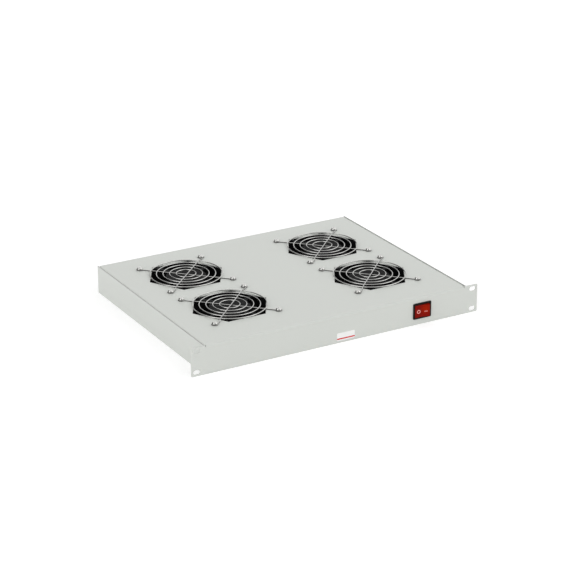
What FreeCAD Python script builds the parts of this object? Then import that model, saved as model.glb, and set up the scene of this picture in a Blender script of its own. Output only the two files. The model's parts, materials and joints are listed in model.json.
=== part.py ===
import FreeCAD, Part
import math
import os

# Rack fan tray, 19-inch, one unit high: a two-piece folded steel case with four mains axial fans that
# blow upwards through wire finger guards, an illuminated rocker switch in the front panel and a mains
# inlet in the rear wall.
# Millimetres.  +X to the right seen from the front, +Y to the rear, +Z up.
# Origin: centre of the four rack slots, on the rear faces of the ears, where the rack's rails press.

V = FreeCAD.Vector
X_AXIS = V(1, 0, 0)
Y_AXIS = V(0, 1, 0)
Z_AXIS = V(0, 0, 1)

# ---- case ----
PANEL_WIDTH = 482.6          # 19 inches over the ears
PANEL_HEIGHT = 44.0          # one rack unit, less working clearance
EAR_WIDTH = 20.3             # ear beyond the side wall
EAR_CORNER = 1.5
SLOT_INSET = 8.75            # middle of the slots from the ear's end
SLOT_PITCH_Z = 31.75
SLOT_WIDTH = 7.0
SLOT_LENGTH = 11.0
BODY_DEPTH = 352.0           # front face of the panel to rear face of the case
COVER_T = 1.5                # cover and front panel sheet
BASE_T = 1.2                 # base sheet
BODY_LIFT = 1.3              # underside of the case above the ears' lower edge
BEND_R = 1.0                 # inside radius of every bend
SIDE_FLANGE = 12.0           # cover's side flanges, inside the base's walls
LIP = 14.0                   # cover's return lips, on the base's floor
NOTCH = 1.5                  # width of the bend reliefs
SHEET_GAP = 0.3              # cover flange to base wall
BUTT_GAP = 0.2               # base wall to ear
LIP_SCREW_INSET = 26.0       # outermost case screws from the side walls' outer faces
LIP_SCREWS = 4               # case screws along each lip

# ---- fans ----
FAN_SIZE = 119.0
FAN_SIDE_ROOM = 41.5         # fan frame to the side wall's outer face
FAN_ROW_PITCH = 140.0
FAN_ROWS_SHIFT = 5.5         # middle of the two rows behind the middle of the case
FAN_FLOOR_GAP = 2.0          # fan frame above the base's floor
FAN_CORNER = 7.0
FAN_HOLE_INSET = 7.0         # screw holes from the frame's edges
FAN_HOLE_FIT = 0.15
OPENING_INSET = 6.5          # flats of the hexagonal openings inside the fan's edges
FLANGE_T = 5.0
BORE_WALL = 1.75             # thinnest wall, where the bore comes nearest to the frame's side
DUCT_WALL = 3.0
FLARE_WALL = 0.5
FLARE_DEPTH = 4.0
BRACKET_T = 2.5
BRACKET_SET = 0.5            # bracket below the fan's upper face
STRUT_COUNT = 4
STRUT_W = 6.0
STRUT_H = 5.0
STRUT_LEAN = 14.0            # degrees by which a strut leans off the radius
STRUT_START = 20.0           # degrees from the fan's side to the first strut
STRUT_CLEAR = 1.0            # struts deepen this far outside the hub
STRUT_ROOT = 2.0             # overlap of a strut with the bracket disc
TUBE_IN_R = 6.5
TUBE_WALL = 2.0
TUBE_GAP = 0.6               # tube's end to the boss of the hub
HUB_R = 31.0
HUB_WALL = 3.2
HUB_TOP = 4.0                # below the fan's upper face
HUB_BOTTOM = 33.0
HUB_END_T = 3.0
HUB_EDGE_R = 2.0
BOSS_R = 5.0
BOSS_H = 2.4
BLADES = 5
TIP_GAP = 1.35               # blade tip to the bore
BLADE_TOP = 8.5              # leading edges below the fan's upper face
BLADE_BOTTOM = 34.0
ROOT_CHORD = 29.0
TIP_CHORD = 42.0
ROOT_PITCH = 50.0            # degrees between the chord and the fan's plane
TIP_PITCH = 30.0
ROOT_CAMBER = 3.6
TIP_CAMBER = 2.4
ROOT_THICKNESS = 2.0
TIP_THICKNESS = 1.4
BLADE_SWEEP = 16.0           # degrees by which the tip leads the root
BLADE_STATIONS = (0.0, 0.35, 0.7, 1.0)
LOFT_SPARE = 3.0             # loft beyond hub face and tip, before it is trimmed
SHAFT_R = 2.0
SHAFT_SOCKET = 1.5           # shaft pressed into the hub's end
SHAFT_CHAMFER = 0.4
SHAFT_END_GAP = 0.5          # shaft below the bracket disc
SHAFT_RUN = 0.05             # radial running clearance in the bearings
BEARING_W = 5.0
BEARING_SET = 1.0            # upper bearing below the bracket disc
SEAT = 0.05                  # radial clearance of a bearing, stator or nut on its seat
RING_GAP = 0.3               # rotor ring in the hub
RING_TOP = 6.0               # below the fan's upper face
AIR_GAP = 0.5                # stator to rotor ring
STATOR_R = 21.0
STATOR_TOP = 9.0             # below the fan's upper face
STATOR_STACK = 11.0
STATOR_POLES = 4
POLE_GAP = 2.4
POLE_ROOT = 3.5              # iron left between the tube and a pole gap
WINDING_IN = 2.5             # winding outside the tube
WINDING_OUT = 2.5            # winding inside the core's face
WINDING_RISE = 3.0           # winding above and below the core

# ---- finger guards ----
WIRE_R = 0.8
RING_INSET = 4.5             # largest ring inside the fan's edges
RING_STEP = 10.0
RING_COUNT = 5
RING_SIDES = 6
WELD = 0.25                  # how far crossing wires sink into each other
EYE_FIT = 0.3                # eye's wire to the screw
KNEE_OUT = 2.5               # upper leg starts down this far outside the largest ring
FOOT_OUT = 9.0               # and reaches its eyes' level here

# ---- screws and nuts ----
M4_R = 2.0
M4_HEAD_R = 4.0
M4_HEAD_H = 2.6
M4_CROWN = 1.2               # bevel that rounds the head
M4_LENGTH = 12.0
M4_NUT_AF = 7.0
M4_NUT_H = 3.2
M3_R = 1.5
M3_HEAD_LAND = 0.05          # ledge between the shank and the cone of the head
M3_NUT_AF = 5.5
M3_NUT_H = 2.4
M3_LENGTH = 6.0
SCREW_END = 1.0              # inlet screws beyond their nuts
SCREW_ROOT = 0.5             # shank drawn into the head
HOLE_FIT = 0.25              # screw in a plain hole, radial
HEAD_FIT = 0.1               # countersunk head in its dimple
THREAD_FIT = 0.05            # drawn clearance between a screw and its nut

# ---- perforated inlets in the base ----
CELL_AF = 12.0
CELL_PITCH = 15.0
CELL_RINGS = 3

# ---- rocker switch ----
SWITCH_INSET = 78.5          # switch's middle from the right wall's outer face
CUTOUT_W = 30.0
CUTOUT_H = 22.0
CUTOUT_FIT = 0.15
BEZEL_LAP_X = 0.5            # bezel beyond the cut-out at each side
BEZEL_LAP_Z = 1.5
BEZEL_T = 2.0
BEZEL_CORNER = 1.5
BEZEL_EDGE = 0.6
SWITCH_WALL_X = 1.25
SWITCH_WALL_Z = 1.0
SWITCH_DEPTH = 19.0
SWITCH_BACK = 6.0            # thickness of the body's rear wall, which holds the tabs
SNAP_RISE = 0.9              # snap wedge beyond the body's side
SNAP_FIT = 0.15              # snap wedge behind the panel
SNAP_LEN = 7.0
SNAP_W = 8.0
SNAP_ROOT = 0.3
ROCKER_FIT = 0.3
ROCKER_SWEEP = 1.5           # room at each end of the rocker for its swing
ROCKER_FACE = 6.0            # pivot to the middle of the rocker's face
ROCKER_PIVOT_Y = 2.0
ROCKER_EDGE_R = 0.8
ROCKER_TILT = 10.0           # degrees either side of the middle
PIVOT_R = 1.5
PIVOT_FIT = 0.05
PIVOT_LEN = 1.1
TAB_W = 6.3
TAB_T = 0.8
TAB_LEN = 8.0
TAB_HOLE_R = 0.8
SWITCH_TAB_X = 7.0
SWITCH_TAB_Z = 5.0
LAMP_R = 2.0
LAMP_LEN = 9.0
LAMP_LIFT = 0.2              # lamp above the floor of the switch body
LAMP_END_R = 1.2

# ---- mains inlet ----
INLET_INSET = 31.0           # inlet's middle from the right wall's outer face
INLET_W = 27.6
INLET_H = 19.8
INLET_WALL_X = 1.5
INLET_WALL_Z = 1.6
INLET_HOLE_PITCH = 40.0
INLET_EDGE = 5.0             # flange beyond the screw holes, and its corner radius
INLET_FLANGE_LAP = 1.4       # flange above and below the body
INLET_FLANGE_T = 3.0
INLET_DEPTH = 18.0           # body inside the rear wall
INLET_CAVITY_D = 15.5
INLET_CUT = 5.0              # the two bevelled corners of the cavity
PIN_W = 2.0
PIN_H = 4.0
PIN_LEN = 14.0
PIN_POINT = 0.5
PIN_SPREAD = 7.0
PIN_RISE = 2.0

# ---- wiring ----
BLOCK_W = 20.0
BLOCK_H = 15.0
BLOCK_SHIFT = -1.5           # block's middle from the middle of the fan rows
BLOCK_POLES = 6
BLOCK_END = 1.0              # block beyond its first and last pole
POLE_PITCH = 10.0
GROOVE_W = 1.6               # grooves between the poles
GROOVE_H = 6.0
ENTRY_R = 2.3
ENTRY_Z = 5.0                # entries above the floor
ENTRY_DEPTH = 6.0
POLE_SCREW_INSET = 4.0       # pole screws from the block's long sides
POLE_SCREW_R = 2.1
POLE_SCREW_H = 3.5
POLE_WELL = 5.0
SLIT_W = 0.6
SLIT_DEPTH = 0.8
BLOCK_WELL = 6.0             # seat of the fixing screws above the floor
BLOCK_HEAD_H = 2.0
LEAD_R = 1.3
FAN_LEAD_R = 0.9
LEAD_GAP = 0.3               # lead to clip, lead to lead, sleeve to body
SLEEVE_LEN = 11.0
SLEEVE_W = 8.0
SLEEVE_H = 3.6
SLEEVE_EDGE_R = 0.8
TAB_FIT = 0.1
CLIP_LEN = 10.0
CLIP_WALL = 1.2
CLIP_FOOT = 14.0
CLIP_FOOT_T = 1.0
CLIP_COUNT = 4
CLIP_PITCH = 58.0
CLIP_START = 30.0            # first clip before the middle of the front fans
CLIP_REACH = 8.0             # straight lead before the first clip and after the last
LANE_INSET = 21.0            # leads' lane from the right wall's outer face
CORNER_ROOM = 18.0           # switched leads inside the front right fan's corner
CORNER_RUN = 11.0            # and this far along its side
FAN_LEAD_INSET = 6.0         # fan leads from the end of the fan's rounded corner
FAN_LEAD_STEP = 3.5
LANE_SLACK = 0.4             # sideways play of the leads between clips
EARTH_INSET = 11.5           # earth stud from the right wall's outer face
EARTH_BEHIND = 23.0          # earth stud behind the last clip
STUD_LEN = 12.0
LUG_R = 4.2
LUG_T = 0.8
LUG_NECK_W = 4.0
BARREL_LEN = 6.0
BARREL_R = 1.9

# ---- levels and faces of the case ----
TOP_Z = PANEL_HEIGHT / 2
EAR_BOTTOM_Z = -PANEL_HEIGHT / 2
BASE_Z = EAR_BOTTOM_Z + BODY_LIFT
FLOOR_Z = BASE_Z + BASE_T
FRONT_Y = -COVER_T
REAR_Y = FRONT_Y + BODY_DEPTH
REAR_IN_Y = REAR_Y - COVER_T
WALL_X = PANEL_WIDTH / 2 - EAR_WIDTH
COVER_X = WALL_X - BASE_T - SHEET_GAP
BEND_OUT = BEND_R + COVER_T
FLAT_X = COVER_X - BEND_OUT
SLOT_X = PANEL_WIDTH / 2 - SLOT_INSET
LIP_Y = (FRONT_Y + LIP / 2, REAR_Y - LIP / 2)
LIP_SCREW_X = WALL_X - LIP_SCREW_INSET
M3_HEAD_R = M3_R + BASE_T + M3_HEAD_LAND

# ---- fans and guards ----
FAN_TOP = TOP_Z - COVER_T
FAN_BOTTOM = FLOOR_Z + FAN_FLOOR_GAP
FAN_HALF = FAN_SIZE / 2
FAN_X = WALL_X - FAN_SIDE_ROOM - FAN_HALF
ROWS_Y = FRONT_Y + BODY_DEPTH / 2 + FAN_ROWS_SHIFT
FAN_Y = (ROWS_Y - FAN_ROW_PITCH / 2, ROWS_Y + FAN_ROW_PITCH / 2)
FAN_CENTRES = [(x, y) for y in FAN_Y for x in (-FAN_X, FAN_X)]
FAN_HOLE = FAN_HALF - FAN_HOLE_INSET
FAN_HOLE_R = M4_R + FAN_HOLE_FIT
OPENING_AF = FAN_SIZE - 2 * OPENING_INSET
BORE_R = FAN_HALF - BORE_WALL
DUCT_R = BORE_R + DUCT_WALL
FLARE_R = FAN_HALF - FLARE_WALL
BRACKET_TOP = FAN_TOP - BRACKET_SET
BRACKET_Z = BRACKET_TOP - BRACKET_T
BRACKET_R = HUB_R
TUBE_OUT_R = TUBE_IN_R + TUBE_WALL
HUB_FLOOR = FAN_TOP - HUB_BOTTOM + HUB_END_T
TUBE_END = HUB_FLOOR + BOSS_H + TUBE_GAP
BLADE_TIP_R = BORE_R - TIP_GAP
GUARD_LEG_Z = TOP_Z + WIRE_R
GUARD_RING_Z = GUARD_LEG_Z + 2 * WIRE_R - WELD
GUARD_TOP_LEG_Z = GUARD_RING_Z + 2 * WIRE_R - WELD
RING_MAX = FAN_HALF - RING_INSET
EYE_R = M4_R + WIRE_R + EYE_FIT

# ---- switch, inlet and wiring ----
SWITCH_X = WALL_X - SWITCH_INSET
SWITCH_HALF_W = CUTOUT_W / 2 - CUTOUT_FIT
SWITCH_HALF_H = CUTOUT_H / 2 - CUTOUT_FIT
SWITCH_FLOOR = SWITCH_DEPTH - SWITCH_BACK
ROCKER_HALF = SWITCH_HALF_W - SWITCH_WALL_X - ROCKER_SWEEP
ROCKER_HALF_H = SWITCH_HALF_H - SWITCH_WALL_Z - ROCKER_FIT
INLET_X = WALL_X - INLET_INSET
INLET_FACE_Y = REAR_Y + INLET_FLANGE_T
BLOCK_Y = ROWS_Y + BLOCK_SHIFT
BLOCK_L = BLOCK_POLES * POLE_PITCH + 2 * BLOCK_END
POLE_SCREW_X = BLOCK_W / 2 - POLE_SCREW_INSET
CLIP_Y = [FAN_Y[0] - CLIP_START + CLIP_PITCH * k for k in range(CLIP_COUNT)]
LANE_X = WALL_X - LANE_INSET
EARTH_X = WALL_X - EARTH_INSET
EARTH_Y = CLIP_Y[-1] + EARTH_BEHIND
ENTRY_LEVEL = FLOOR_Z + ENTRY_Z
LANE_Z = FLOOR_Z + CLIP_FOOT_T + LEAD_GAP + LEAD_R
LANE_STEP = 2 * LEAD_R + LEAD_GAP
SWITCH_LEAD_Y = SWITCH_DEPTH + LEAD_GAP + SLEEVE_LEN
INLET_BACK_Y = REAR_IN_Y - INLET_DEPTH
INLET_LEAD_Y = INLET_BACK_Y - LEAD_GAP - SLEEVE_LEN


def box(x0, x1, y0, y1, z0, z1):
    return Part.makeBox(x1 - x0, y1 - y0, z1 - z0, V(x0, y0, z0))


def cylinder(radius, z0, z1, x=0.0, y=0.0):
    return Part.makeCylinder(radius, z1 - z0, V(x, y, z0))


def ring(r_in, r_out, z0, z1, x=0.0, y=0.0):
    return cylinder(r_out, z0, z1, x, y).cut(cylinder(r_in, z0 - 1, z1 + 1, x, y))


def polygon(points):
    return Part.Face(Part.makePolygon(list(points) + [points[0]]))


def hexagon(across_flats, z, x=0.0, y=0.0, turn=0.0):
    corner = across_flats / math.sqrt(3)
    angles = [math.radians(turn + 60 * k) for k in range(6)]
    return polygon([V(x + corner * math.cos(a), y + corner * math.sin(a), z) for a in angles])


def fuse(shapes):
    whole = shapes[0]
    if len(shapes) > 1:
        whole = whole.multiFuse(shapes[1:])
    return whole.removeSplitter()


def turned(shape, degrees, x=0.0, y=0.0, axis=Z_AXIS):
    copy = shape.copy()
    copy.rotate(V(x, y, 0), axis, degrees)
    return copy


def moved(shape, x, y, z=0.0):
    copy = shape.copy()
    copy.translate(V(x, y, z))
    return copy


def export(shape, node):
    shape.exportStep("parts/%s.step" % node)
    print("%-20s solids %2d  volume %10.1f" % (node, len(shape.Solids), shape.Volume))


def group(solids):
    return Part.makeCompound(solids)


def route(points):
    """Straight runs joined by tangent arcs, as one wire, through the points of a lead."""
    edges = []
    here = points[0]
    for before, corner, after in zip(points, points[1:], points[2:]):
        back = before - corner
        ahead = after - corner
        turn = math.pi - back.getAngle(ahead)
        reach = 0.45 * min(back.Length, ahead.Length)
        radius = reach / math.tan(turn / 2)
        back.normalize()
        ahead.normalize()
        start = corner + back * reach
        end = corner + ahead * reach
        to_centre = back + ahead
        to_centre.normalize()
        middle = corner + to_centre * (radius / math.cos(turn / 2) - radius)
        edges.append(Part.LineSegment(here, start).toShape())
        edges.append(Part.Arc(start, middle, end).toShape())
        here = end
    edges.append(Part.LineSegment(here, points[-1]).toShape())
    return Part.Wire(edges)


def lead(points, radius):
    """A round wire or lead along the points."""
    section = Part.Wire(Part.makeCircle(radius, points[0], points[1] - points[0]))
    return route(points).makePipeShell([section], True, False)


def run_between(start, end, shares):
    """Points of a lead from start to end, each at its own share of the way along X, Y and Z."""
    points = []
    for share_x, share_y, share_z in shares:
        points.append(V(between(start.x, end.x, share_x), between(start.y, end.y, share_y),
                        between(start.z, end.z, share_z)))
    return points


def between(first, last, share):
    return first + (last - first) * share


def circles_at(shape, z):
    """Edges of a round solid that lie level at this height."""
    level = [edge for edge in shape.Edges if edge.BoundBox.ZLength < 0.01]
    return [edge for edge in level if abs(edge.BoundBox.ZMin - z) < 0.01]


# ---------------------------------------------------------------- case

def edges_along(shape, axis, test):
    found = []
    for edge in shape.Edges:
        ends = [v.Point for v in edge.Vertexes]
        if len(ends) == 2:
            run = ends[1] - ends[0]
            if run.getAngle(axis) < 0.01 or run.getAngle(axis) > math.pi - 0.01:
                if test(edge.CenterOfMass):
                    found.append(edge)
    return found


def channel(x0, x1, y0, y1, z0, z1, thickness, along):
    """A rectangular tube of sheet with rounded bends, open at both ends, running along one axis."""
    outer = box(x0, x1, y0, y1, z0, z1)
    outer = outer.makeFillet(BEND_R + thickness, edges_along(outer, along, lambda p: True))
    t = thickness
    if along == X_AXIS:
        inner = box(x0, x1, y0 + t, y1 - t, z0 + t, z1 - t)
    else:
        inner = box(x0 + t, x1 - t, y0, y1, z0 + t, z1 - t)
    inner = inner.makeFillet(BEND_R, edges_along(inner, along, lambda p: True))
    return outer.cut(inner)


def ear_plate(side):
    """One end of the front panel: the ear, its two slots and the strip that joins it to the panel."""
    inner_x = FLAT_X + NOTCH
    outer_x = PANEL_WIDTH / 2
    ear = box(inner_x, outer_x, FRONT_Y, 0, EAR_BOTTOM_Z, TOP_Z)
    ear = ear.makeFillet(EAR_CORNER, edges_along(ear, Y_AXIS, lambda p: p.x > outer_x - 0.1))
    strip = box(FLAT_X - 1, inner_x + 1, FRONT_Y, 0, FLOOR_Z + BEND_OUT, TOP_Z - BEND_OUT)
    ear = fuse([ear, strip])
    for z in (-SLOT_PITCH_Z / 2, SLOT_PITCH_Z / 2):
        straight = (SLOT_LENGTH - SLOT_WIDTH) / 2
        ends = (SLOT_X - straight, SLOT_X + straight)
        slot = box(ends[0], ends[1], FRONT_Y - 1, 1, z - SLOT_WIDTH / 2, z + SLOT_WIDTH / 2)
        for end in ends:
            round_end = Part.makeCylinder(SLOT_WIDTH / 2, COVER_T + 2, V(end, FRONT_Y - 1, z), Y_AXIS)
            slot = slot.fuse(round_end)
        ear = ear.cut(slot)
    if side < 0:
        ear = ear.mirror(V(0, 0, 0), X_AXIS)
    return ear


def side_flange(side):
    """The cover's side bend and flange, which lies inside the base's wall."""
    y0 = BEND_OUT + FRONT_Y + NOTCH
    y1 = REAR_Y - BEND_OUT - NOTCH
    tube = channel(0, COVER_X, y0, y1, EAR_BOTTOM_Z, TOP_Z, COVER_T, Y_AXIS)
    keep = box(FLAT_X - 1, COVER_X + 1, y0, y1, TOP_Z - SIDE_FLANGE, TOP_Z + 1)
    flange = tube.common(keep)
    if side < 0:
        flange = flange.mirror(V(0, 0, 0), X_AXIS)
    return flange


def lip_screw_places():
    pitch = 2 * LIP_SCREW_X / (LIP_SCREWS - 1)
    return [(pitch * k - LIP_SCREW_X, y) for y in LIP_Y for k in range(LIP_SCREWS)]


def make_cover():
    """Top sheet with front panel and ears, rear wall, side flanges and return lips, all one blank."""
    sheet = channel(-FLAT_X, FLAT_X, FRONT_Y, REAR_Y, FLOOR_Z, TOP_Z, COVER_T, X_AXIS)
    between_lips = box(-FLAT_X - 1, FLAT_X + 1, FRONT_Y + LIP, REAR_Y - LIP,
                       FLOOR_Z - 1, FLOOR_Z + COVER_T + 1)
    sheet = sheet.cut(between_lips)
    parts = [sheet]
    for side in (-1, 1):
        parts.append(ear_plate(side))
        parts.append(side_flange(side))
        x0, x1 = sorted((side * (FLAT_X - 1), side * COVER_X))
        parts.append(box(x0, x1, REAR_IN_Y, REAR_Y, FLOOR_Z + BEND_OUT, TOP_Z - BEND_OUT))
    cover = fuse(parts)
    cuts = []
    for x, y in FAN_CENTRES:
        cuts.append(hexagon(OPENING_AF, FAN_TOP - 1, x, y).extrude(V(0, 0, COVER_T + 2)))
        for dx, dy in corner_offsets():
            cuts.append(cylinder(M4_R + HOLE_FIT, FAN_TOP - 1, TOP_Z + 1, x + dx, y + dy))
    cuts.append(box(SWITCH_X - CUTOUT_W / 2, SWITCH_X + CUTOUT_W / 2, FRONT_Y - 1, 1,
                    -CUTOUT_H / 2, CUTOUT_H / 2))
    half_w = INLET_W / 2 + CUTOUT_FIT
    half_h = INLET_H / 2 + CUTOUT_FIT
    cuts.append(box(INLET_X - half_w, INLET_X + half_w, REAR_IN_Y - 1, REAR_Y + 1, -half_h, half_h))
    for dx in (-INLET_HOLE_PITCH / 2, INLET_HOLE_PITCH / 2):
        start = V(INLET_X + dx, REAR_IN_Y - 1, 0)
        cuts.append(Part.makeCylinder(M3_R + HOLE_FIT, COVER_T + 2, start, Y_AXIS))
    for x, y in lip_screw_places():
        cuts.append(cylinder(M3_R + HOLE_FIT, FLOOR_Z - 1, FLOOR_Z + COVER_T + 1, x, y))
    return cover.cut(fuse(cuts))


def inlet_cells():
    """Places of the hexagonal holes of one inlet field: rings of a honeycomb round the fan's axis."""
    cells = []
    for q in range(-CELL_RINGS, CELL_RINGS + 1):
        for r in range(-CELL_RINGS, CELL_RINGS + 1):
            if abs(q + r) <= CELL_RINGS:
                x = CELL_PITCH * (q * math.sqrt(3) / 2)
                y = CELL_PITCH * (r + q / 2)
                cells.append((x, y))
    return cells


def make_base():
    """Floor with perforated inlets and two side walls, one blank bent to a channel."""
    y0 = BUTT_GAP
    tube = channel(-WALL_X, WALL_X, y0, REAR_Y, BASE_Z, TOP_Z + PANEL_HEIGHT, BASE_T, Y_AXIS)
    base = tube.common(box(-WALL_X - 1, WALL_X + 1, y0, REAR_Y, BASE_Z - 1, TOP_Z))
    tongue_x = WALL_X - BASE_T - BEND_R - NOTCH
    base = fuse([base, box(-tongue_x, tongue_x, -COVER_T / 2, y0 + 1, BASE_Z, FLOOR_Z)])
    cuts = []
    for x, y in FAN_CENTRES:
        for dx, dy in inlet_cells():
            cuts.append(hexagon(CELL_AF, BASE_Z - 1, x + dx, y + dy).extrude(V(0, 0, BASE_T + 2)))
    for x, y in lip_screw_places():
        mouth = M3_HEAD_R + HEAD_FIT
        cuts.append(Part.makeCone(mouth, mouth - BASE_T, BASE_T, V(x, y, BASE_Z)))
    for x, y in block_screw_places():
        cuts.append(cylinder(M3_R + THREAD_FIT, BASE_Z - 1, FLOOR_Z + 1, x, y))
    cuts.append(cylinder(M4_R + THREAD_FIT, BASE_Z - 1, FLOOR_Z + 1, EARTH_X, EARTH_Y))
    return base.cut(group(cuts))


def make_cover_screw(x, y):
    """Countersunk M3 screw from below, flush with the base."""
    head = Part.makeCone(M3_HEAD_R, M3_HEAD_R - BASE_T, BASE_T, V(x, y, BASE_Z))
    return fuse([head, cylinder(M3_R, BASE_Z, BASE_Z + M3_LENGTH, x, y)])


def make_nut(across_flats, height, hole_r, x, y, z, turn=0.0):
    body = hexagon(across_flats, z, x, y, turn).extrude(V(0, 0, height))
    return body.cut(cylinder(hole_r, z - 1, z + height + 1, x, y))


# ---------------------------------------------------------------- fans

def corner_offsets():
    return [(-FAN_HOLE, -FAN_HOLE), (FAN_HOLE, -FAN_HOLE), (-FAN_HOLE, FAN_HOLE), (FAN_HOLE, FAN_HOLE)]


def make_fan_frame():
    """Square die-cast frame: two flanges, round duct, motor bracket on leaning struts, bearing tube."""
    half = FAN_HALF
    square = box(-half, half, -half, half, FAN_BOTTOM, FAN_TOP)
    square = square.makeFillet(FAN_CORNER, edges_along(square, Z_AXIS, lambda p: True))
    duct = cylinder(DUCT_R, FAN_BOTTOM, FAN_TOP)
    upper = box(-half, half, -half, half, FAN_TOP - FLANGE_T, FAN_TOP)
    lower = box(-half, half, -half, half, FAN_BOTTOM, FAN_BOTTOM + FLANGE_T)
    frame = duct.multiFuse([upper, lower]).common(square)
    frame = frame.cut(cylinder(BORE_R, FAN_BOTTOM - 1, FAN_TOP + 1))
    frame = frame.cut(Part.makeCone(FLARE_R, BORE_R, FLARE_DEPTH, V(0, 0, FAN_BOTTOM)))
    frame = frame.cut(Part.makeCone(BORE_R, FLARE_R, FLARE_DEPTH, V(0, 0, FAN_TOP - FLARE_DEPTH)))
    for x, y in corner_offsets():
        frame = frame.cut(cylinder(FAN_HOLE_R, FAN_BOTTOM - 1, FAN_TOP + 1, x, y))
    pieces = [frame, cylinder(BRACKET_R, BRACKET_Z, BRACKET_TOP)]
    strut = box(TUBE_OUT_R, DUCT_R, -STRUT_W / 2, STRUT_W / 2, BRACKET_TOP - STRUT_H, BRACKET_TOP)
    strut = turned(strut, STRUT_LEAN, BRACKET_R, 0)
    for k in range(STRUT_COUNT):
        leaning = turned(strut, 360 / STRUT_COUNT * k + STRUT_START)
        leaning = leaning.common(cylinder((BORE_R + DUCT_R) / 2, FAN_BOTTOM, FAN_TOP))
        leaning = leaning.cut(cylinder(BRACKET_R - STRUT_ROOT, FAN_BOTTOM, FAN_TOP))
        pieces.append(leaning.cut(cylinder(HUB_R + STRUT_CLEAR, FAN_BOTTOM, BRACKET_Z)))
    pieces.append(cylinder(TUBE_OUT_R, TUBE_END, BRACKET_Z))
    frame = fuse(pieces)
    return frame.cut(cylinder(TUBE_IN_R, TUBE_END - 1, BRACKET_Z))


def blade_section(radius, chord, pitch, camber, thickness, skew):
    """A cambered section, flat in the plane that touches the cylinder of this radius."""
    half = chord / 2
    tip = thickness / 3
    middle_z = FAN_TOP - (BLADE_TOP + BLADE_BOTTOM) / 2
    upper = Part.Arc(V(radius, -half, tip), V(radius, 0, camber + thickness / 2), V(radius, half, tip))
    lower = Part.Arc(V(radius, half, -tip), V(radius, 0, camber - thickness / 2), V(radius, -half, -tip))
    nose = Part.LineSegment(V(radius, half, tip), V(radius, half, -tip))
    tail = Part.LineSegment(V(radius, -half, -tip), V(radius, -half, tip))
    wire = Part.Wire([upper.toShape(), nose.toShape(), lower.toShape(), tail.toShape()])
    wire.rotate(V(0, 0, 0), X_AXIS, pitch)
    wire.rotate(V(0, 0, 0), Z_AXIS, skew)
    wire.translate(V(0, 0, middle_z))
    return wire


def make_impeller():
    """Hub cup that covers the motor, and five swept blades, steep at the hub and flatter at the tip."""
    sections = []
    for share in BLADE_STATIONS:
        radius = between(HUB_R - LOFT_SPARE, BLADE_TIP_R + LOFT_SPARE, share)
        chord = between(ROOT_CHORD, TIP_CHORD, share)
        pitch = between(ROOT_PITCH, TIP_PITCH, share)
        camber = between(ROOT_CAMBER, TIP_CAMBER, share)
        thickness = between(ROOT_THICKNESS, TIP_THICKNESS, share)
        sections.append(blade_section(radius, chord, pitch, camber, thickness, BLADE_SWEEP * share ** 1.5))
    blade = Part.makeLoft(sections, True, False)
    zone = ring(HUB_R - HUB_WALL / 2, BLADE_TIP_R, FAN_TOP - BLADE_BOTTOM, FAN_TOP - BLADE_TOP)
    blade = blade.common(zone)
    hub = cylinder(HUB_R, FAN_TOP - HUB_BOTTOM, FAN_TOP - HUB_TOP)
    hub = hub.makeFillet(HUB_EDGE_R, circles_at(hub, FAN_TOP - HUB_BOTTOM))
    hub = hub.cut(cylinder(HUB_R - HUB_WALL, HUB_FLOOR, FAN_TOP))
    hub = hub.fuse(cylinder(BOSS_R, HUB_FLOOR - 1, HUB_FLOOR + BOSS_H))
    hub = hub.cut(cylinder(SHAFT_R, HUB_FLOOR - SHAFT_SOCKET, HUB_FLOOR + BOSS_H + 1))
    blades = [turned(blade, 360 / BLADES * k) for k in range(BLADES)]
    return fuse([hub] + blades)


def make_shaft():
    """Steel shaft, pressed into the hub's boss and running in both bearings."""
    top = BRACKET_Z - SHAFT_END_GAP
    shaft = cylinder(SHAFT_R, HUB_FLOOR - SHAFT_SOCKET, top)
    return shaft.makeChamfer(SHAFT_CHAMFER, circles_at(shaft, top))


def make_bearings():
    """Two sealed ball bearings in the bracket's tube, one at each end."""
    pair = []
    for z0 in (BRACKET_Z - BEARING_SET - BEARING_W, TUBE_END):
        pair.append(ring(SHAFT_R + SHAFT_RUN, TUBE_IN_R - SEAT, z0, z0 + BEARING_W))
    return group(pair)


def make_stator():
    """Laminated core with four poles, and the winding in between, on the bracket's tube."""
    core_top = FAN_TOP - STATOR_TOP
    core_bottom = core_top - STATOR_STACK
    core = ring(TUBE_OUT_R + SEAT, STATOR_R, core_bottom, core_top)
    gap = box(TUBE_OUT_R + POLE_ROOT, STATOR_R + 1, -POLE_GAP / 2, POLE_GAP / 2,
              core_bottom - 1, core_top + 1)
    for k in range(STATOR_POLES):
        core = core.cut(turned(gap, 360 / STATOR_POLES * (k + 0.5)))
    winding = ring(TUBE_OUT_R + WINDING_IN, STATOR_R - WINDING_OUT,
                   core_bottom - WINDING_RISE, core_top + WINDING_RISE)
    return fuse([core, winding])


def make_rotor_ring():
    """Steel ring inside the hub, round the stator."""
    return ring(STATOR_R + AIR_GAP, HUB_R - HUB_WALL - RING_GAP, HUB_FLOOR + RING_GAP, FAN_TOP - RING_TOP)


# ---------------------------------------------------------------- finger guards

def wire_ring(radius, z, x=0.0, y=0.0):
    """A closed ring of wire, its round section kept to a few flats."""
    angles = [2 * math.pi * k / RING_SIDES for k in range(RING_SIDES)]
    points = [V(radius + WIRE_R * math.cos(a), 0, z + WIRE_R * math.sin(a)) for a in angles]
    return moved(polygon(points).revolve(V(0, 0, 0), Z_AXIS, 360), x, y)


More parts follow.
